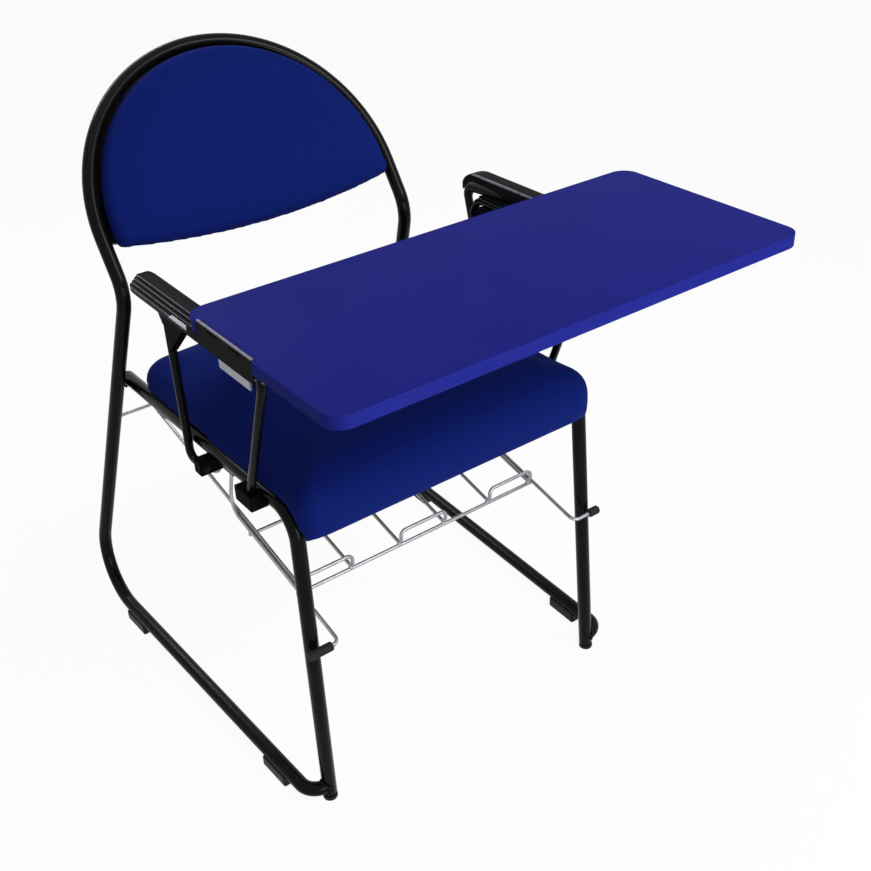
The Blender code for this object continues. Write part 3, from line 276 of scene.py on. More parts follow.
# Each lamp's place, target, width and height in metres, and power in watts
LAMPS = {
    "front_softbox": ((0.6, -1.5, 1.9), (0, -0.1, 0.5), (0.9, 0.9), 28),
    "low_front_softbox": ((-0.3, -2.1, 0.7), (0, -0.2, 0.42), (1.0, 1.0), 18),
    "overhead_softbox": ((-0.2, 0.1, 2.8), (0, 0, 0.5), (1.8, 1.8), 8),
    "rear_strip_softbox": ((-0.2, 1.75, 1.8), (-0.2, 0.05, 0.05), (1.4, 0.3), 13),
}

# Camera, with its sensor and lens in millimetres
CAMERA_PLACE = Vector((-0.7282, -1.1834, 1.2161))
CAMERA_BACK = Vector((-0.4983, -0.6842, 0.5326)).normalized()
CAMERA_RIGHT = Vector((0.8083, -0.5887, 0.0)).normalized()
CAMERA_ROLL = math.atan2(-0.03825, 0.99927)
CAMERA_NEAR = 0.05
SENSOR = 36
LENS = 49.233


# Shapes


def mesh_piece(name, verts, faces):
    """A smooth-shaded piece in the chair's layout, carried by the frame."""
    mesh = bpy.data.meshes.new(name)
    mesh.from_pydata([Vector(v) + HOME for v in verts], [], faces)
    shape = bmesh.new()
    shape.from_mesh(mesh)
    bmesh.ops.recalc_face_normals(shape, faces=shape.faces)
    shape.to_mesh(mesh)
    shape.free()
    mesh.shade_smooth()
    mesh.set_sharp_from_angle(angle=SHARP)
    made = bpy.data.objects.new(name, mesh)
    bpy.context.scene.collection.objects.link(made)
    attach(made, "frame")
    return made


def bent(corners, radii, steps=14):
    """A line through the corners, each inner one turned into an arc of its own radius."""
    corners = [Vector(c) for c in corners]
    line = [corners[0]]
    for i, radius in enumerate(radii):
        before, corner, after = corners[i : i + 3]
        back = (before - corner).normalized()
        ahead = (after - corner).normalized()
        half = back.angle(ahead) / 2
        centre = corner + (back + ahead).normalized() * (radius / math.sin(half))
        start = corner + back * (radius / math.tan(half)) - centre
        axis = ahead.cross(back).normalized()
        turn = math.pi - 2 * half
        turns = [Matrix.Rotation(turn * k / steps, 3, axis) for k in range(steps + 1)]
        line += [centre + partly @ start for partly in turns]
    return line + [corners[-1]]


def mirrored(points, sign):
    return [Vector((sign * p[0], p[1], p[2])) for p in points]


def skin(rings):
    """Points and faces of a closed skin through rings of equal count."""
    count = len(rings[0])
    verts = [v for ring in rings for v in ring]
    faces = [tuple(range(count)), tuple(range(len(verts) - count, len(verts)))]
    for i in range(len(rings) - 1):
        for j in range(count):
            k = (j + 1) % count
            faces.append((i * count + j, i * count + k, (i + 1) * count + k, (i + 1) * count + j))
    return verts, faces


def pipe_rings(points, radii, sides):
    """Rings square to a line of points, turned as little as can be from one to the next."""
    rings = []
    side = None
    for i, point in enumerate(points):
        along = (points[min(i + 1, len(points) - 1)] - points[max(i - 1, 0)]).normalized()
        if side is None:
            side = along.orthogonal()
        side = (side - along * side.dot(along)).normalized()
        other = along.cross(side)
        turns = [2 * math.pi * j / sides for j in range(sides)]
        spokes = [side * math.cos(a) + other * math.sin(a) for a in turns]
        rings.append([point + spoke * radii[i] for spoke in spokes])
    return rings


def tube(name, points, radius, sides, tip=CUT_TIP):
    """A round tube or rod whose cut ends are eased by a small tip radius."""
    points = [Vector(p) for p in points]
    start = (points[0] - points[1]).normalized()
    end = (points[-1] - points[-2]).normalized()
    eases = [(tip * (1 - math.cos(a)), tip * math.sin(a)) for a in TIP_TURNS]
    first = [points[0] - start * (tip - out) for inn, out in eases]
    last = [points[-1] - end * (tip - out) for inn, out in eases]
    drawn = [radius - inn for inn, out in eases]
    line = list(reversed(first)) + points[1:-1] + last
    radii = list(reversed(drawn)) + [radius] * (len(points) - 2) + drawn
    return mesh_piece(name, *skin(pipe_rings(line, radii, sides)))


def weld_bead(name, points, radius):
    """A run of overlapping weld ripples along a line."""
    points = [Vector(p) for p in points]
    length = sum((b - a).length for a, b in zip(points, points[1:]))
    count = max(BEAD_LEAST_STEPS, int(length / (radius * RIPPLE_STEP)))
    line = []
    swell = []
    for k in range(count + 1):
        share = k / count * (len(points) - 1)
        i = min(int(share), len(points) - 2)
        line.append(points[i].lerp(points[i + 1], share - i))
        swell.append(radius * (RIPPLE_MEAN + RIPPLE_RISE * math.cos(k * RIPPLE_TURN)))
    swell[0] = swell[-1] = radius * BEAD_END
    swell[1] = swell[-2] = radius * BEAD_NEAR_END
    return mesh_piece(name, *skin(pipe_rings(line, swell, BEAD_SIDES)))


def turned(name, profile, centre, axis, sides, recess=0.0):
    """A piece turned on a lathe from (radius, height) steps.

    Where a recess is asked for, the last two steps are a hexagon of that half width.
    """
    centre, axis = Vector(centre), Vector(axis).normalized()
    side = axis.orthogonal().normalized()
    other = axis.cross(side)
    rings = []
    for i, (radius, height) in enumerate(profile):
        ring = []
        for j in range(sides):
            a = 2 * math.pi * j / sides
            wall = radius
            if recess and i >= len(profile) - 2:
                wall = recess / math.cos((a % (math.pi / 3)) - math.pi / 6)
            ring.append(centre + axis * height + (side * math.cos(a) + other * math.sin(a)) * wall)
        rings.append(ring)
    return mesh_piece(name, *skin(rings))


def joined(name, pieces):
    """Several pieces made into one."""
    with bpy.context.temp_override(active_object=pieces[0], selected_editable_objects=pieces):
        bpy.ops.object.join()
    pieces[0].name = name
    return pieces[0]


def eased(obj, width, segments=EASE_STEPS):
    """Breaks the sharp edges, as deburring or moulding does."""
    bevel = obj.modifiers.new("eased", "BEVEL")
    bevel.width = width
    bevel.segments = segments
    bevel.limit_method = "ANGLE"
    bevel.angle_limit = EASED


# Finishes


def linear(code):
    """An sRGB hex colour as linear light."""
    parts = [int(code[i : i + 2], 16) / 255 for i in (1, 3, 5)]
    return (*((c / 12.92 if c <= 0.04045 else ((c + 0.055) / 1.055) ** 2.4) for c in parts), 1.0)


def feed(tree, node, sockets):
    """Sets a node's inputs, and links those whose value is another node's output."""
    for socket, value in sockets.items():
        if isinstance(value, bpy.types.NodeSocket):
            tree.links.new(value, node.inputs[socket])
        else:
            node.inputs[socket].default_value = value


def add(tree, kind, sockets=None, **settings):
    """One node, with its settings and with its inputs set or linked."""
    node = tree.nodes.new(kind)
    for key, value in settings.items():
        setattr(node, key, value)
    feed(tree, node, sockets or {})
    return node


def start_finish(name):
    """A new material, its nodes, its surface shader and the place on the object in metres."""
    made = bpy.data.materials.new(name)
    made.use_nodes = True
    tree = made.node_tree
    shader = tree.nodes["Principled BSDF"]
    place = add(tree, "ShaderNodeTexCoord").outputs["Object"]
    return made, tree, shader, place


def ramp(node, *stops):
    """Sets a colour ramp's two stops: place and colour."""
    for stop, (place, colour) in zip(node.color_ramp.elements, stops):
        stop.position = place
        stop.color = colour


def powder_coated_steel(name, rough, shine):
    """Polyester powder baked on steel: near-black, with a faint orange peel about 1.5 mm across."""
    made, tree, shader, place = start_finish(name)
    peel = add(tree, "ShaderNodeTexNoise", {"Vector": place, "Scale": 1 / 0.0015, "Detail": 2.0})
    patch = add(tree, "ShaderNodeTexNoise", {"Vector": place, "Scale": 1 / 0.030, "Detail": 3.0})
    tone = add(tree, "ShaderNodeValToRGB", {"Fac": patch.outputs["Fac"]})
    ramp(tone, (0.3, linear("#08080a")), (0.7, linear("#0d0d10")))
    gloss = add(tree, "ShaderNodeMapRange",
                {"Value": patch.outputs["Fac"], "To Min": rough, "To Max": rough + 0.10})
    bump = add(tree, "ShaderNodeBump",
               {"Height": peel.outputs["Fac"], "Strength": 0.06, "Distance": 0.0004})
    feed(tree, shader, {
        "Base Color": tone.outputs["Color"],
        "Roughness": gloss.outputs["Result"],
        "Normal": bump.outputs["Normal"],
        "IOR": 1.5,
        "Specular IOR Level": shine,
    })
    return made


def woven_polyester():
    """Tight plain-weave polyester: deep blue, matt, with thread ridges and slightly uneven dye.

    The real threads are about 0.5 mm; the weave is drawn at 2 mm so that it shows.
    """
    made, tree, shader, place = start_finish("blue_woven_polyester")
    pitch = 0.002
    turns = 2 * math.pi / pitch
    facing = add(tree, "ShaderNodeNewGeometry").outputs["Normal"]
    toward = add(tree, "ShaderNodeSeparateXYZ", {"Vector": facing})
    spots = add(tree, "ShaderNodeSeparateXYZ", {"Vector": place})
    threads = {}
    for axis in "XYZ":
        turn = add(tree, "ShaderNodeMath", {0: spots.outputs[axis], 1: turns}, operation="MULTIPLY")
        wave = add(tree, "ShaderNodeMath", {0: turn.outputs[0]}, operation="SINE")
        threads[axis] = wave.outputs[0]
    sums = []
    for axis, (one, two) in {"X": "YZ", "Y": "XZ", "Z": "XY"}.items():
        over = add(tree, "ShaderNodeMath", {0: threads[one], 1: threads[two]}, operation="MULTIPLY")
        share = add(tree, "ShaderNodeMath", {0: toward.outputs[axis], 1: 2.0}, operation="POWER")
        part = add(tree, "ShaderNodeMath", {0: over.outputs[0], 1: share.outputs[0]},
                   operation="MULTIPLY")
        sums.append(part.outputs[0])
    pair = add(tree, "ShaderNodeMath", {0: sums[0], 1: sums[1]}, operation="ADD")
    weave = add(tree, "ShaderNodeMath", {0: pair.outputs[0], 1: sums[2]}, operation="ADD")
    slub = add(tree, "ShaderNodeTexNoise",
               {"Vector": place, "Scale": 1 / 0.004, "Detail": 4.0, "Roughness": 0.65})
    lit = add(tree, "ShaderNodeMapRange",
              {"Value": weave.outputs[0], "From Min": -1.0, "To Min": -0.12, "To Max": 0.12})
    mixed = add(tree, "ShaderNodeMath", {0: slub.outputs["Fac"], 1: lit.outputs["Result"]},
                operation="ADD")
    tone = add(tree, "ShaderNodeValToRGB", {"Fac": mixed.outputs[0]})
    ramp(tone, (0.2, linear("#08185f")), (0.8, linear("#0b1f6d")))
    bump = add(tree, "ShaderNodeBump",
               {"Height": weave.outputs[0], "Strength": 0.25, "Distance": 0.0005})
    nap = add(tree, "ShaderNodeBump",
              {"Height": slub.outputs["Fac"], "Strength": 0.15, "Distance": 0.001,
               "Normal": bump.outputs["Normal"]})
    feed(tree, shader, {
        "Base Color": tone.outputs["Color"],
        "Normal": nap.outputs["Normal"],
        "Roughness": 0.92,
        "Specular IOR Level": 0.07,
        "Sheen Weight": 0.06,
        "Sheen Roughness": 0.4,
        "Sheen Tint": linear("#5a6ed0"),
    })
    return made


def suede_laminate():
    """Laminate pressed on a suede plate: violet-blue, satin, with grains about 0.8 mm across."""
    made, tree, shader, place = start_finish("blue_suede_laminate")
    grain = add(tree, "ShaderNodeTexNoise", {"Vector": place, "Scale": 1 / 0.0008, "Detail": 2.0})
    cloud = add(tree, "ShaderNodeTexNoise", {"Vector": place, "Scale": 1 / 0.090, "Detail": 3.0})
    tone = add(tree, "ShaderNodeValToRGB", {"Fac": cloud.outputs["Fac"]})
    ramp(tone, (0.3, linear("#0d1270")), (0.7, linear("#101675")))
    gloss = add(tree, "ShaderNodeMapRange",
                {"Value": grain.outputs["Fac"], "To Min": 0.50, "To Max": 0.62})
    bump = add(tree, "ShaderNodeBump",
               {"Height": grain.outputs["Fac"], "Strength": 0.10, "Distance": 0.0002})
    feed(tree, shader, {
        "Base Color": tone.outputs["Color"],
        "Roughness": gloss.outputs["Result"],
        "Normal": bump.outputs["Normal"],
        "Specular IOR Level": 0.05,
    })
    return made


def extruded_pvc():
    """PVC edging drawn through a die: painted a shade lighter than the top as a highlight, with
    fine lines along it.
    """
    made, tree, shader, place = start_finish("blue_extruded_pvc_edging")
    across = add(tree, "ShaderNodeMapping", {"Vector": place, "Scale": (20.0, 20.0, 1 / 0.0012)})
    lines = add(tree, "ShaderNodeTexNoise",
                {"Vector": across.outputs["Vector"], "Scale": 1.0, "Detail": 2.0})
    tone = add(tree, "ShaderNodeValToRGB", {"Fac": lines.outputs["Fac"]})
    # Painted highlight: the edging's tone is set lighter than the laminate top.
    ramp(tone, (0.3, linear("#1a2178")), (0.7, linear("#202780")))
    gloss = add(tree, "ShaderNodeMapRange",
                {"Value": lines.outputs["Fac"], "To Min": 0.54, "To Max": 0.66})
    bump = add(tree, "ShaderNodeBump",
               {"Height": lines.outputs["Fac"], "Strength": 0.08, "Distance": 0.0003})
    feed(tree, shader, {
        "Base Color": tone.outputs["Color"],
        "Roughness": gloss.outputs["Result"],
        "Normal": bump.outputs["Normal"],
        "Specular IOR Level": 0.02,
    })
    return made


def moulded_polypropylene():
    """Injection-moulded: black, with a spark-eroded grain about 1 mm across that scatters light."""
    made, tree, shader, place = start_finish("black_moulded_polypropylene")
    grain = add(tree, "ShaderNodeTexVoronoi", {"Vector": place, "Scale": 1 / 0.001})
    patch = add(tree, "ShaderNodeTexNoise", {"Vector": place, "Scale": 1 / 0.020, "Detail": 3.0})
    tone = add(tree, "ShaderNodeValToRGB", {"Fac": patch.outputs["Fac"]})
    ramp(tone, (0.3, linear("#0b0b0f")), (0.7, linear("#111116")))
    gloss = add(tree, "ShaderNodeMapRange",
                {"Value": patch.outputs["Fac"], "To Min": 0.40, "To Max": 0.55})
    bump = add(tree, "ShaderNodeBump",
               {"Height": grain.outputs["Distance"], "Strength": 0.08, "Distance": 0.0003})
    feed(tree, shader, {
        "Base Color": tone.outputs["Color"],
        "Roughness": gloss.outputs["Result"],
        "Normal": bump.outputs["Normal"],
        "IOR": 1.49,
        "Specular IOR Level": 0.14,
    })
    return made


def integral_skin_foam():
    """Integral-skin polyurethane: black and dull, with painted highlights on its ridges and inner
    brink.

    The painted highlights follow the pad's outline: along is 0 at the shoulder's outer edge and 1
    at its top, and each ridge is one wave of it.
    """
    crest_from, shoulder_middle, shoulder_reach = 0.55, 0.5, 0.55
    brink_inset, brink_near, brink_far = 0.0015, 0.0010, 0.0022
    made, tree, shader, place = start_finish("black_integral_skin_polyurethane")
    spots = add(tree, "ShaderNodeSeparateXYZ", {"Vector": place}).outputs
    aside = add(tree, "ShaderNodeMath", {0: spots["X"], 1: HOME.x}, operation="SUBTRACT")
    out = add(tree, "ShaderNodeMath", {0: aside.outputs[0]}, operation="ABSOLUTE").outputs[0]
    steps = PAD_SHOULDER / PAD_SHOULDER.length_squared
    edge_z = PAD_BOTTOM_Z + PAD_THICK - PAD_SHOULDER.y
    start = (PAD_X + PAD_HALF) * steps.x - edge_z * steps.y
    across = add(tree, "ShaderNodeMath", {0: out, 1: -steps.x, 2: start}, operation="MULTIPLY_ADD")
    along = add(tree, "ShaderNodeMath", {0: spots["Z"], 1: steps.y, 2: across.outputs[0]},
                operation="MULTIPLY_ADD").outputs[0]
    waves = add(tree, "ShaderNodeMath", {0: along, 1: 2 * math.pi * PAD_RIDGES},
                operation="MULTIPLY")
    crest = add(tree, "ShaderNodeMath", {0: waves.outputs[0]}, operation="COSINE")
    ridged = add(tree, "ShaderNodeMath", {0: along, 1: shoulder_middle, 2: shoulder_reach},
                 operation="COMPARE")
    crest_highlight = add(tree, "ShaderNodeMapRange",
                 {"Value": crest.outputs[0], "From Min": crest_from, "From Max": 1.0})
    ridge_highlight = add(tree, "ShaderNodeMath", {0: crest_highlight.outputs["Result"], 1: ridged.outputs[0]},
               operation="MULTIPLY")
    breakup_noise = add(tree, "ShaderNodeTexNoise", {"Vector": place, "Scale": 1 / 0.010, "Detail": 4.0})
    spot = add(tree, "ShaderNodeCombineXYZ", {"X": out, "Z": spots["Z"]})
    brink = (PAD_X - PAD_HALF + brink_inset, 0.0, PAD_BOTTOM_Z + PAD_THICK - brink_inset)
    off = add(tree, "ShaderNodeVectorMath", {0: spot.outputs[0], 1: brink}, operation="DISTANCE")
    brink_highlight = add(tree, "ShaderNodeMapRange",
                  {"Value": off.outputs["Value"], "From Min": brink_far, "From Max": brink_near})
    painted_highlights = add(tree, "ShaderNodeMath", {0: ridge_highlight.outputs[0], 1: brink_highlight.outputs["Result"]},
               operation="MAXIMUM")
    broken_highlights = add(tree, "ShaderNodeMath", {0: painted_highlights.outputs[0], 1: breakup_noise.outputs["Fac"]},
                 operation="MULTIPLY")
    # Painted highlights: ridge crests and the inner brink go from near-black up to light grey.
    tone = add(tree, "ShaderNodeValToRGB", {"Fac": broken_highlights.outputs[0]})
    ramp(tone, (0.0, linear("#09090c")), (0.6, linear("#8a8a94")))
    grain = add(tree, "ShaderNodeTexNoise", {"Vector": place, "Scale": 1 / 0.001, "Detail": 2.0})
    bump = add(tree, "ShaderNodeBump",
               {"Height": grain.outputs["Fac"], "Strength": 0.10, "Distance": 0.0003})
    feed(tree, shader, {
        "Base Color": tone.outputs["Color"],
        "Normal": bump.outputs["Normal"],
        "Roughness": 0.5,
        "Specular IOR Level": 0.035,
    })
    return made


def zinc_plated(name, dark, light, rough):
    """Barrel-plated zinc: grey or yellow metal, clouded about every 12 mm, with 1 mm marks."""
    made, tree, shader, place = start_finish(name)
    cloud = add(tree, "ShaderNodeTexNoise", {"Vector": place, "Scale": 1 / 0.012, "Detail": 4.0})
    marks = add(tree, "ShaderNodeTexNoise", {"Vector": place, "Scale": 1 / 0.0012, "Detail": 2.0})
    tone = add(tree, "ShaderNodeValToRGB", {"Fac": cloud.outputs["Fac"]})
    ramp(tone, (0.3, linear(dark)), (0.7, linear(light)))
    gloss = add(tree, "ShaderNodeMapRange",
                {"Value": marks.outputs["Fac"], "To Min": rough - 0.03, "To Max": rough + 0.04})
    bump = add(tree, "ShaderNodeBump",
               {"Height": marks.outputs["Fac"], "Strength": 0.02, "Distance": 0.0002})
    feed(tree, shader, {
        "Base Color": tone.outputs["Color"],
        "Roughness": gloss.outputs["Result"],
        "Normal": bump.outputs["Normal"],
        "Metallic": 1.0,
    })
    return made


def coat_with_painted_edge_highlight(name, node, depth, highlight_tone):
    """Coated steel stamping whose top edge, over this depth, is painted grey metal as a highlight.
    """
    made, tree, shader, place = start_finish(name)
    ragged_by = 0.0006
    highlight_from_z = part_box(node)[1].z - depth
    height = add(tree, "ShaderNodeSeparateXYZ", {"Vector": place}).outputs["Z"]
    breakup_noise = add(tree, "ShaderNodeTexNoise", {"Vector": place, "Scale": 1 / 0.003, "Detail": 3.0})
    ragged = add(tree, "ShaderNodeMath", {0: breakup_noise.outputs["Fac"], 1: ragged_by, 2: height},
                 operation="MULTIPLY_ADD")
    edge_highlight = add(tree, "ShaderNodeMapRange",
               {"Value": ragged.outputs[0], "From Min": highlight_from_z, "From Max": highlight_from_z + ragged_by})
    tone = add(tree, "ShaderNodeValToRGB", {"Fac": edge_highlight.outputs["Result"]})
    ramp(tone, (0.0, linear("#08080a")), (1.0, linear(highlight_tone)))
    gloss = add(tree, "ShaderNodeMapRange",
                {"Value": breakup_noise.outputs["Fac"], "To Min": 0.42, "To Max": 0.56})
    feed(tree, shader, {
        "Base Color": tone.outputs["Color"],
        "Metallic": edge_highlight.outputs["Result"],
        "Roughness": gloss.outputs["Result"],
        "Specular IOR Level": 0.015,
    })
    return made


def extruded_rubber():
    """Black EPDM: dull, with a greyish bloom in patches about 8 mm across."""
    made, tree, shader, place = start_finish("black_extruded_rubber")
    bloom = add(tree, "ShaderNodeTexNoise", {"Vector": place, "Scale": 1 / 0.008, "Detail": 4.0})
    skin_grain = add(tree, "ShaderNodeTexNoise",
                     {"Vector": place, "Scale": 1 / 0.001, "Detail": 2.0})
    tone = add(tree, "ShaderNodeValToRGB", {"Fac": bloom.outputs["Fac"]})
    ramp(tone, (0.35, linear("#0b0b0c")), (0.75, linear("#161618")))
    bump = add(tree, "ShaderNodeBump",
               {"Height": skin_grain.outputs["Fac"], "Strength": 0.12, "Distance": 0.0003})
    feed(tree, shader, {
        "Base Color": tone.outputs["Color"],
        "Normal": bump.outputs["Normal"],
        "Roughness": 0.72,
        "Specular IOR Level": 0.25,
    })
    return made


def sanded_plywood():
    """Rotary-cut ply, sanded: pale tan, with grain bands about 6 mm apart and thin plies."""
    made, tree, shader, place = start_finish("sanded_birch_plywood")
    run = add(tree, "ShaderNodeMapping",
              {"Vector": place, "Scale": (1 / 0.006, 1 / 0.090, 1 / 0.0018)})
    grain = add(tree, "ShaderNodeTexNoise",
                {"Vector": run.outputs["Vector"], "Scale": 1.0, "Detail": 5.0})
    tone = add(tree, "ShaderNodeValToRGB", {"Fac": grain.outputs["Fac"]})
    ramp(tone, (0.3, linear("#8a6a44")), (0.7, linear("#c19f72")))
    bump = add(tree, "ShaderNodeBump",
               {"Height": grain.outputs["Fac"], "Strength": 0.10, "Distance": 0.0003})
    feed(tree, shader, {
        "Base Color": tone.outputs["Color"],
        "Normal": bump.outputs["Normal"],
        "Roughness": 0.66,
    })
    return made


COAT = powder_coated_steel("semi_gloss_powder_coated_tube", 0.14, 0.07)
DULL_COAT = powder_coated_steel("matt_powder_coated_stamping", 0.55, 0.015)
CLOTH = woven_polyester()
LAMINATE = suede_laminate()
EDGING = extruded_pvc()
PLASTIC = moulded_polypropylene()
PAD_FOAM = integral_skin_foam()
WIRE_ZINC = zinc_plated("zinc_plated_wire", "#94969c", "#a8aab0", 0.44)
PLATE_ZINC = zinc_plated("zinc_plated_sheet", "#86858f", "#9a99a2", 0.44)
YELLOW_ZINC = zinc_plated("yellow_zinc_plated_bolt", "#7a6730", "#9c8748", 0.38)
# The leaf's barrel is painted as grey metal, a painted highlight along the hinge's top edge.
HINGE_STEEL = coat_with_painted_edge_highlight(
    "coated_hinge_leaf_with_painted_barrel_highlight", "hinge_leaf_tablet", 0.0014, "#62626e"
)
# The bar's top edge is painted as grey metal, a painted highlight along it.
BAR_STEEL = coat_with_painted_edge_highlight("coated_hinge_bar_with_painted_edge_highlight", "hinge_bar", 0.0016, "#8a8a94")
RUBBER = extruded_rubber()
PLYWOOD = sanded_plywood()


def dress(obj, look):
    """Gives a piece its finish."""
    obj.data.materials.clear()
    obj.data.materials.append(look)


# Frame: one bent tube for runners, rear legs and back hoop, and two for front legs and rails


def leg_at(z):
    return LEG_FOOT.lerp(LEG_TOP, z / RAIL_FRONT_Z)


def rear_leg_at(z):
    return REAR_FOOT.lerp(KINK, (z - RUNNER_Z) / (KINK.z - RUNNER_Z))


def bent_frame():
    weld = leg_at(RUNNER_Z)
    turn = Vector((RUNNER_TURN_X, weld.y, RUNNER_Z))
    start = weld + Vector((RUNNER_START, 0, 0))
    half = bent([start, turn, REAR_FOOT, KINK, KINK + HOOP_UP * HOOP_STRAIGHT],
                (RUNNER_TURN_R, REAR_BEND_R, KINK_R))
    arch = []
    for k in range(1, HOOP_STEPS):
        a = math.pi * k / HOOP_STEPS
        rise = HOOP_STRAIGHT + KINK.x * math.sin(a)
        arch.append(Vector((KINK.x * math.cos(a), KINK.y, KINK.z)) + HOOP_UP * rise)
    path = half + arch + list(reversed(mirrored(half, -1)))
    made = tube("bent_frame_tube", path, TUBE_R, TUBE_SIDES)
    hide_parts("back_hoop", "rear_leg_left", "rear_leg_right", "runner_left", "runner_right")
    dress(made, COAT)


def front_tube(side, sign):
    path = bent([leg_at(LEG_CAP), LEG_TOP, RAIL_END], (LEG_BEND_R,))
    made = tube("front_tube_" + side, mirrored(path, sign), TUBE_R, TUBE_SIDES, LEG_TIP)
    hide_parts("front_leg_" + side, "seat_rail_" + side)
    dress(made, COAT)


def frame_welds(side, sign):
    """Beads where runner meets front leg and where the rail lies against the rear leg."""
    weld = leg_at(RUNNER_Z)
    ring = []
    for k in range(RUNNER_BEAD_STEPS + 1):
        a = 2 * math.pi * k / RUNNER_BEAD_STEPS
        lift = math.sin(a) * RUNNER_BEAD_ROUND
        depth = math.cos(a) * RUNNER_BEAD_ROUND
        reach = math.sqrt(max(TUBE_R**2 - min(abs(depth), TUBE_R) ** 2, 0.0))
        ring.append(weld + Vector((reach + RUNNER_BEAD_OUT, depth, lift)))
    foot = weld_bead("runner_weld_" + side, mirrored(ring, sign), RUNNER_BEAD_R)
    meet = rear_leg_at(RAIL_REAR_Z)
    along = (RAIL_END - LEG_TOP).normalized()
    seams = []
    for up in (-1, 1):
        groove = Vector((meet.x - TUBE_R, meet.y, RAIL_REAR_Z + up * RAIL_BEAD_UP))
        run = [groove + along * t for t in (-RAIL_BEAD_HALF, 0.0, RAIL_BEAD_HALF)]
        seams.append(weld_bead(f"rail_weld_{side}_{up}", mirrored(run, sign), RAIL_BEAD_R))
    dress(joined("welds_" + side, [foot] + seams), COAT)


# Arms


def arm_rod(side, sign):
    corners = [(HOOK_FRONT_Y, HOOK_Z), (HOOK_REAR_Y, HOOK_Z), (ARM_REAR_Y, ARM_TOP_Z),
               (ARM_FRONT_Y, ARM_TOP_Z), (ARM_FOOT_Y, ARM_FOOT_Z)]
    path = bent([(ARM_X, y, z) for y, z in corners], (HOOK_BEND_R, ARM_BEND_R, ARM_BEND_R))
    made = tube("arm_rod_" + side, mirrored(path, sign), ROD_R, ROD_SIDES)
    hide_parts("arm_loop_" + side)
    dress(made, COAT)


def pad_outline(ridge):
    """The pad seen end on: flat top, shoulder with moulded ridges of this depth, chamfer below."""
    shoulder = Vector((PAD_HALF - PAD_SHOULDER.x, PAD_THICK))
    edge = Vector((PAD_HALF, PAD_THICK - PAD_SHOULDER.y))
    inwards = Vector((-PAD_SHOULDER.y, -PAD_SHOULDER.x)).normalized()
    inset, rise = PAD_CHAMFER_MIDDLE
    points = [Vector((PAD_HALF - PAD_CHAMFER, 0)), Vector((PAD_HALF - inset, rise)),
              Vector((PAD_HALF, PAD_CHAMFER))]
    for k in range(PAD_RIDGE_STEPS + 1):
        t = k / PAD_RIDGE_STEPS
        dip = 0.5 - 0.5 * math.cos(2 * math.pi * PAD_RIDGES * t)
        points.append(edge.lerp(shoulder, t) + inwards * ridge * dip)
    corner = PAD_CORNER
    inner, high = -PAD_HALF + corner, PAD_THICK - corner
    turns = [math.pi / 2 * k / PAD_CORNER_STEPS for k in range(PAD_CORNER_STEPS + 1)]
    points += [Vector((inner - corner * math.sin(a), high + corner * math.cos(a))) for a in turns]
    points += [Vector((inner - corner * math.cos(a), corner - corner * math.sin(a))) for a in turns]
    return points


def round_end(depth, radius):
    """How far a round end of this radius falls short at this depth from its tip."""
    if depth >= radius:
        return 0.0
    return radius - math.sqrt(radius**2 - (radius - depth) ** 2)


def pad_heel(side, sign):
    """The thick back end of the pad's inner edge, moulded down over the rod's rear bend."""
    path = bent([(ARM_X + x, y, z) for x, y, z in HEEL_PATH], (HEEL_BEND_R,))
    steps = range(HEEL_TIP_STEPS)
    line = [path[0].lerp(path[1], k / HEEL_TIP_STEPS) for k in steps] + path[1:]
    radii = [HEEL_TIP_R + (HEEL_R - HEEL_TIP_R) * k / HEEL_TIP_STEPS for k in steps]
    last = len(path) - 2
    radii += [HEEL_R - (HEEL_R - ROD_R) * (k / last) ** HEEL_TAPER for k in range(last + 1)]
    rings = pipe_rings(mirrored(line, sign), radii, HEEL_SIDES)
    dress(mesh_piece("pad_heel_" + side, *skin(rings)), PLASTIC)


def arm_pad(side, sign):
    """A ridged pad, its front end round and its rear end drawn in and down to the inner edge."""
    tips = [1 - math.cos(math.pi / 2 * k / PAD_TIP_STEPS) for k in range(PAD_TIP_STEPS + 1)]
    span = PAD_REAR_Y - PAD_REAR_LENGTH - PAD_FRONT_Y - PAD_END_LENGTH
    shares = range(1, PAD_SPAN_STEPS)
    stations = [PAD_FRONT_Y + PAD_END_LENGTH * t for t in tips]
    stations += [PAD_FRONT_Y + PAD_END_LENGTH + span * k / PAD_SPAN_STEPS for k in shares]
    stations += [PAD_REAR_Y - PAD_REAR_LENGTH * t for t in reversed(tips)]
    rings = []
    for y in stations:
        front = round_end(y - PAD_FRONT_Y, PAD_END_LENGTH) / PAD_END_LENGTH
        rear = round_end(PAD_REAR_Y - y, PAD_REAR_LENGTH) / PAD_REAR_LENGTH
        narrow = 1 - max(front, rear) * PAD_END_DRAW / PAD_HALF
        flat = 1 - front * PAD_END_FLATTEN - rear * PAD_REAR_FLATTEN
        base = PAD_BOTTOM_Z - PAD_REAR_DROOP * rear + (1 - flat) * PAD_THICK * PAD_END_LIFT
        kept = PAD_X - (PAD_HALF if rear > 0 else 0)
        outline = pad_outline(PAD_RIDGE * max(0.0, 1 - PAD_RIDGE_FADE * max(front, rear)))
        rings.append([(sign * (kept + (PAD_X + p.x - kept) * narrow), y, base + p.y * flat)
                      for p in outline])
    made = mesh_piece("ridged_arm_pad_" + side, *skin(rings))
    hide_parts("arm_pad_" + side)
    dress(made, PAD_FOAM)


# Basket


def floor_z(y):
    return FLOOR_Z + FLOOR_SLOPE * (y - FLOOR_Y)


def plated_wire(name, path, node):
    made = tube(name, path, WIRE_R, WIRE_SIDES, WIRE_TIP)
    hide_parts(node)
    dress(made, WIRE_ZINC)


def across(reach, y, z):
    return [(-reach, y, z), (0, y, z), (reach, y, z)]


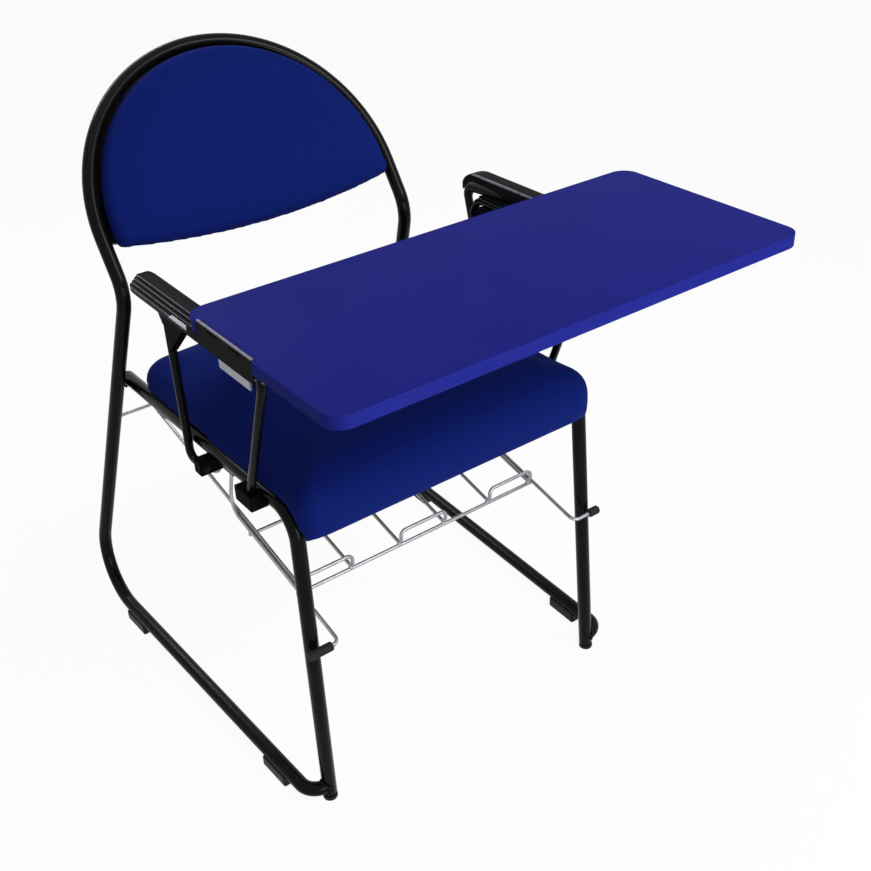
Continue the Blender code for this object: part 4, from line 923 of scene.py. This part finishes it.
def basket():
    """Bent wires, spot welded where they cross."""
    wire_step = (2 * WIRE_R + WIRE_GAP) * math.hypot(1, FLOOR_SLOPE)
    leg = leg_at(FLOOR_Z)
    half = leg.x - TUBE_R - WIRE_R - SIDE_INSET
    hook_y = leg.y - TUBE_R - SLEEVE_R - HOOK_GAP
    hook_z = floor_z(hook_y)
    top_z = RAIL_FRONT_Z + (SIDE_BACK_Y - LEG_TOP_Y) * RAIL_SLOPE - TUBE_R - WELD_GAP
    run = (REAR_FOOT.y - KINK.y) / (KINK.z - RUNNER_Z)
    bar_z = (floor_z(REAR_FOOT.y + run * RUNNER_Z) - wire_step) / (1 + FLOOR_SLOPE * run)
    bar = rear_leg_at(bar_z)
    spots = []
    for side, sign in SIDES:
        x = sign * half
        tip = sign * (leg.x + HOOK_REACH)
        path = bent([(x - sign * SIDE_LEAN, SIDE_BACK_Y, top_z),
                     (x, SIDE_BACK_Y, floor_z(SIDE_BACK_Y)),
                     (x, hook_y, hook_z), (tip, hook_y, hook_z)],
                    SIDE_BENDS, SIDE_BEND_STEPS)
        plated_wire("basket_side_" + side, path, "basket_side_wire_" + side)
        start = Vector((sign * (half + SLEEVE_START[side]), hook_y, hook_z))
        end = Vector((tip + sign * SLEEVE_OVER, hook_y, hook_z))
        sleeve = tube("hook_sleeve_" + side, [start, start.lerp(end, 0.5), end],
                      SLEEVE_R, SLEEVE_SIDES, SLEEVE_TIP)
        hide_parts("basket_sleeve_" + side)
        dress(sleeve, RUBBER)
        for y in (FLOOR_Y, CROSS_Y):
            spots.append(Vector((x, y, floor_z(y) - wire_step / 2)))
        spots.append(Vector((sign * (bar.x - TUBE_R + SPOT_INTO_LEG), bar.y, bar.z)))
    for node, y in (("basket_front_rail", FLOOR_Y), ("basket_cross_wire", CROSS_Y)):
        plated_wire("plated_" + node, across(half + WIRE_R, y, floor_z(y) - wire_step), node)
    plated_wire("plated_basket_rear_bar", across(bar.x - TUBE_R - WELD_GAP, bar.y, bar.z),
                "basket_rear_bar")
    front_y, rear_y = FLOOR_Y - TRAY_OVERHANG, bar.y + TRAY_OVERHANG
    front_z, rear_z = floor_z(front_y), floor_z(rear_y)
    lip_z = front_z + TRAY_LIP
    for i, label in enumerate(("right", "middle", "left")):
        centre = (i - 1) * (half - TRAY_HALF - 2 * WIRE_R - WIRE_GAP)
        low, high = centre - TRAY_HALF, centre + TRAY_HALF
        path = bent([(low, rear_y, rear_z), (low, front_y, front_z), (low, front_y, lip_z),
                     (high, front_y, lip_z), (high, front_y, front_z), (high, rear_y, rear_z)],
                    (TRAY_BEND_R,) * 4, TRAY_BEND_STEPS)
        plated_wire("basket_tray_" + label, path, "basket_tray_wire_" + label)
        for x in (low, high):
            for y in (FLOOR_Y, CROSS_Y, bar.y):
                spots.append(Vector((x, y, floor_z(y) - wire_step / 2)))
    nuggets = [turned(f"spot_weld_{i}", SPOT_WELD, spot, (0, FLOOR_SLOPE, 1), SPOT_WELD_SIDES)
               for i, spot in enumerate(spots)]
    dress(joined("basket_spot_welds", nuggets), WIRE_ZINC)


# Cushions


def within(share):
    """A share kept between 0 and 1."""
    return min(1.0, max(0.0, share))


def foam_blank(name, node, place, shaped, voxel, slant=0.0):
    """The CAD cushion copied, shaped in its own flat layout and cut into even small cells.

    Slant turns it in the grid of cells, so that a nearly level edge comes out without long steps.
    """
    mesh = NODES[node].data.copy()
    mesh.materials.clear()
    mesh.transform(place.inverted())
    for vert in mesh.vertices:
        vert.co = shaped(vert.co.copy())
    mesh.transform(Matrix.Rotation(slant, 4, "Y"))
    blank = bpy.data.objects.new(name, mesh)
    bpy.context.scene.collection.objects.link(blank)
    cells = blank.modifiers.new("cells", "REMESH")
    cells.mode = "VOXEL"
    cells.voxel_size = voxel
    graph = bpy.context.evaluated_depsgraph_get()
    even = bpy.data.meshes.new_from_object(blank.evaluated_get(graph))
    blank.modifiers.clear()
    blank.data = even
    even.name = name
    even.transform(Matrix.Rotation(-slant, 4, "Y"))
    return blank


def swell(blank, held, cap):
    """Blows the cover up under a little pressure, up to a cap, and evens out how far it moves."""
    rest = [v.co.copy() for v in blank.data.vertices]
    group = blank.vertex_groups.new(name="stapled")
    for i, spot in enumerate(rest):
        group.add([i], held(spot), "REPLACE")
    cloth = blank.modifiers.new("swell", "CLOTH")
    for key, value in COVER.items():
        setattr(cloth.settings, key, value)
    cloth.settings.effector_weights.gravity = 0
    cloth.point_cache.frame_end = SWELL_FRAMES
    for step in range(1, SWELL_FRAMES + 1):
        bpy.context.scene.frame_set(step)
    graph = bpy.context.evaluated_depsgraph_get()
    swollen = [v.co.copy() for v in blank.evaluated_get(graph).data.vertices]
    blank.modifiers.clear()
    blank.vertex_groups.clear()
    moves = [after - before for before, after in zip(rest, swollen)]
    moves = [move * min(1.0, cap / max(move.length, 1e-9)) for move in moves]
    near = [[i] for i in range(len(rest))]
    for edge in blank.data.edges:
        a, b = edge.vertices
        near[a].append(b)
        near[b].append(a)
    for turn in range(EVENING_TURNS):
        moves = [sum((moves[k] for k in ring), Vector()) / len(ring) for ring in near]
    for vert, before, move in zip(blank.data.vertices, rest, moves):
        vert.co = before + move
    bpy.context.scene.frame_set(1)


def stuffed(blank, held, cap, passes):
    """Swells the cover, held where it is stapled, and smooths it in so many passes."""
    swell(blank, held, cap)
    shape = bmesh.new()
    shape.from_mesh(blank.data)
    axes = {"use_axis_x": True, "use_axis_y": True, "use_axis_z": True}
    for turn in range(passes):
        bmesh.ops.smooth_vert(shape, verts=shape.verts, factor=SMOOTHING_SHARE, **axes)
    shape.to_mesh(blank.data)
    shape.free()
    blank.data.shade_smooth()
    return blank


def finish_cushion(blank, place, node):
    blank.data.transform(place)
    finer = blank.modifiers.new("finer", "SUBSURF")
    finer.levels = 1
    finer.render_levels = 1
    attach(blank, "frame")
    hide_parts(node)
    dress(blank, CLOTH)


def seat_shape(spot):
    """Draws the blank in a little for the swell to fill, and hangs its sides over the rails.

    The front hem is tucked in and dropped.
    """
    if spot.z > SEAT_TOP_Z:
        aside = within((abs(spot.x) - SEAT_EDGE_X) / SEAT_EDGE_FADE)
        spot.z -= SEAT_DRAW + SEAT_EDGE_DRAW * aside**2
    if spot.y < NOSE_FROM_Y:
        spot.y += NOSE_DRAW
    front = within((LEG_FRONT_Y - spot.y) / (LEG_FRONT_Y - SEAT_NOSE_Y))
    low = within((SEAT_REST_Z - spot.z) / (SEAT_REST_Z - SEAT_HEM_Z))
    spot.y += HEM_TUCK * front * low**2
    if spot.y < LEG_FRONT_Y:
        spot.z -= HEM_DROP * low**2
    edge = within((abs(spot.x) - RAIL_X + SKIRT_INSET) / SKIRT_FADE)
    if spot.y > LEG_FRONT_Y and spot.z < SKIRT_TOP_Z:
        spot.z -= RAIL_SKIRT * edge
        spot.x *= 1 + SKIRT_SPREAD * edge
    return spot


def seat():
    blank = foam_blank("stuffed_seat", "seat_cushion", SEAT_PLACE, seat_shape, SEAT_CELL)

    def held(spot):
        """1 where the cover is stapled to the board and at the hem, fading over a centimetre."""
        if spot.y > STAPLE_FRONT_Y:
            return within((SEAT_REST_Z + STAPLE_FADE - spot.z) / STAPLE_FADE)
        return within((SEAT_HEM_Z + HEM_HELD - spot.z) / STAPLE_FADE)

    finish_cushion(stuffed(blank, held, SEAT_SWELL, SEAT_SMOOTHING), SEAT_PLACE, "seat_cushion")


def back_shape(spot):
    """Draws the face in a little for the swell to fill, and widens the blank a trifle."""
    if spot.y < FACE_FROM_Y:
        spot.y += BACK_DRAW
    spot.x *= BACK_SPREAD
    return spot


def back():
    blank = foam_blank("stuffed_back", "back_cushion", BACK_PLACE, back_shape,
                       BACK_CELL, BACK_SLANT)

    def held(spot):
        """1 at the seam round the board, fading towards the front."""
        return within((spot.y - SEAM_Y + SEAM_FADE) / SEAM_FADE)

    finish_cushion(stuffed(blank, held, BACK_SWELL, BACK_SMOOTHING), BACK_PLACE, "back_cushion")


# Fasteners


def socket_screw(name, centre, axis, head):
    """A round-headed screw with a hexagon recess."""
    r = head / 2
    profile = [(r * SCREW_FOOT, -SCREW_SINK), (r, 2 * SCREW_SINK)]
    profile += [(r * out, r * up) for out, up in SCREW_DOME]
    return turned(name, profile, centre, axis, SCREW_SIDES, r * SCREW_HEX)


def cover_screws():
    """Four screws through the back cover into the tabs."""
    reach = KINK.x - COVER_SCREW_INSET
    out = BACK_PLACE.to_3x3() @ Vector((0, 1, 0))
    made = []
    for sign in (-1, 1):
        for angle in COVER_SCREW_ANGLES:
            a = math.radians(angle)
            up = HOOP_STRAIGHT + reach * math.sin(a)
            spot = BACK_PLACE @ Vector((sign * reach * math.cos(a), COVER_FACE_Y, up)) - HOME
            made.append(socket_screw(f"cover_screw_{sign}_{angle}", spot, out, SCREW_HEAD))
    dress(joined("cover_screws", made), COAT)


def seat_bar_screws():
    """Two screws up through each bar into the seat board."""
    out = SEAT_PLACE.to_3x3() @ Vector((0, 0, -1))
    made = []
    for depth in BAR_DEPTHS:
        for x in (-BAR_SCREW_X, BAR_SCREW_X):
            spot = SEAT_PLACE @ Vector((x, depth, -TUBE_R - BAR_FACE)) - HOME
            made.append(socket_screw(f"bar_screw_{depth}_{x}", spot, out, SCREW_HEAD))
    dress(joined("seat_bar_screws", made), PLATE_ZINC)


def bracket_bolts():
    """One bolt a side through the front bend of the rod into the bracket."""
    made = []
    for side, sign in SIDES:
        spot = (sign * ARM_X, BRACKET_BOLT_Y, BRACKET_BOLT_Z)
        made.append(socket_screw("bracket_bolt_" + side, spot, BRACKET_BOLT_OUT, BRACKET_BOLT_HEAD))
    dress(joined("bracket_bolts", made), YELLOW_ZINC)


# CAD pieces that show themselves, some with their edges eased


def cad_pieces():
    for side, _ in SIDES:
        for end in ("front", "rear"):
            dress(NODES[f"arm_clamp_{end}_{side}"], DULL_COAT)
            eased(NODES[f"arm_clamp_{end}_{side}"], CLAMP_EASE, ROUND_STEPS)
            dress(NODES[f"arm_bolt_{end}_{side}"], PLATE_ZINC)
            dress(NODES[f"glide_{end}_{side}"], PLASTIC)
            eased(NODES[f"pad_bracket_{end}_{side}"], BRACKET_EASE)
        dress(NODES["leg_cap_" + side], PLASTIC)
        dress(NODES["pad_bracket_front_" + side], PLATE_ZINC)
        dress(NODES["pad_bracket_rear_" + side], DULL_COAT)
        for height in ("low", "top"):
            dress(NODES[f"back_tab_{height}_{side}"], COAT)
    for node in ("seat_bar_front", "seat_bar_rear"):
        dress(NODES[node], COAT)
    for node in ("hinge_leaf_arm", "hinge_leaf_tablet"):
        dress(NODES[node], HINGE_STEEL)
    dress(NODES["hinge_pin"], PLATE_ZINC)
    dress(NODES["hinge_bar"], BAR_STEEL)
    for node in ("seat_board", "back_board"):
        dress(NODES[node], PLYWOOD)
    dress(NODES["back_cover"], PLASTIC)
    dress(NODES["tablet_board"], LAMINATE)
    dress(NODES["tablet_edge_band"], EDGING)
    dress(NODES["tablet_rest"], RUBBER)
    eased(NODES["tablet_edge_band"], BAND_EASE, ROUND_STEPS)


# Studio


def seen_directly(tree):
    """1 for rays from the camera, a reflection or glass, and 0 for rays that only carry light."""
    rays = add(tree, "ShaderNodeLightPath").outputs
    direct = add(tree, "ShaderNodeMath", {0: rays["Is Camera Ray"], 1: rays["Is Glossy Ray"]},
                 operation="MAXIMUM")
    shown = add(tree, "ShaderNodeMath", {0: direct.outputs[0], 1: rays["Is Transmission Ray"]},
                operation="MAXIMUM")
    return shown.outputs[0]


def white_seamless_paper():
    """Matt white paper, lit so evenly in a photograph that it shows as plain white."""
    made = bpy.data.materials.new("white_seamless_paper")
    made.use_nodes = True
    tree = made.node_tree
    shader = tree.nodes["Principled BSDF"]
    feed(tree, shader, {
        "Base Color": linear("#f4f4f4"),
        "Roughness": 0.9,
        "Specular IOR Level": 0.0,
    })
    share = add(tree, "ShaderNodeMapRange",
                {"Value": seen_directly(tree), "To Min": 0.0, "To Max": PAPER_GLOW})
    white = add(tree, "ShaderNodeEmission", {"Color": linear("#ffffff"), "Strength": 1.0})
    blend = add(tree, "ShaderNodeMixShader",
                {0: share.outputs["Result"], 1: shader.outputs[0], 2: white.outputs[0]})
    feed(tree, tree.nodes["Material Output"], {"Surface": blend.outputs[0]})
    return made


def studio():
    scene = bpy.context.scene
    scene.view_settings.view_transform = "Standard"
    world = bpy.data.worlds.new("studio_dome")
    scene.world = world
    world.use_nodes = True
    tree = world.node_tree
    level = add(tree, "ShaderNodeMapRange",
                {"Value": seen_directly(tree), "To Min": DOME_LIGHT, "To Max": DOME_SEEN})
    feed(tree, tree.nodes["Background"],
         {"Color": linear("#fdfdfd"), "Strength": level.outputs["Result"]})

    mesh = bpy.data.meshes.new("studio_floor")
    half = FLOOR_HALF
    corners = [(-half, -half, 0), (half, -half, 0), (half, half, 0), (-half, half, 0)]
    mesh.from_pydata(corners, [], [(0, 1, 2, 3)])
    floor = bpy.data.objects.new("studio_floor", mesh)
    scene.collection.objects.link(floor)
    mesh.materials.append(white_seamless_paper())

    for name, (place, target, (wide, high), power) in LAMPS.items():
        light = bpy.data.lights.new(name, "AREA")
        light.shape = "RECTANGLE"
        light.size = wide
        light.size_y = high
        light.energy = power
        lamp = bpy.data.objects.new(name, light)
        lamp.location = place
        lamp.rotation_euler = (Vector(target) - Vector(place)).to_track_quat("-Z", "Y").to_euler()
        scene.collection.objects.link(lamp)


def camera():
    """At the photograph's viewing angle, found from the tube's edges and the tablet's corners."""
    right = Matrix.Rotation(CAMERA_ROLL, 3, CAMERA_BACK) @ CAMERA_RIGHT
    up = CAMERA_BACK.cross(right)
    lens = bpy.data.cameras.new("camera")
    lens.sensor_width = SENSOR
    lens.lens = LENS
    lens.clip_start = CAMERA_NEAR
    made = bpy.data.objects.new("camera", lens)
    turn = Matrix((right, up, CAMERA_BACK)).transposed().to_4x4()
    made.matrix_world = Matrix.Translation(HOME + CAMERA_PLACE) @ turn
    bpy.context.scene.collection.objects.link(made)
    bpy.context.scene.camera = made


bent_frame()
for side, sign in SIDES:
    front_tube(side, sign)
    frame_welds(side, sign)
    arm_rod(side, sign)
    arm_pad(side, sign)
    pad_heel(side, sign)
basket()
seat()
back()
cover_screws()
seat_bar_screws()
bracket_bolts()
cad_pieces()
studio()
camera()
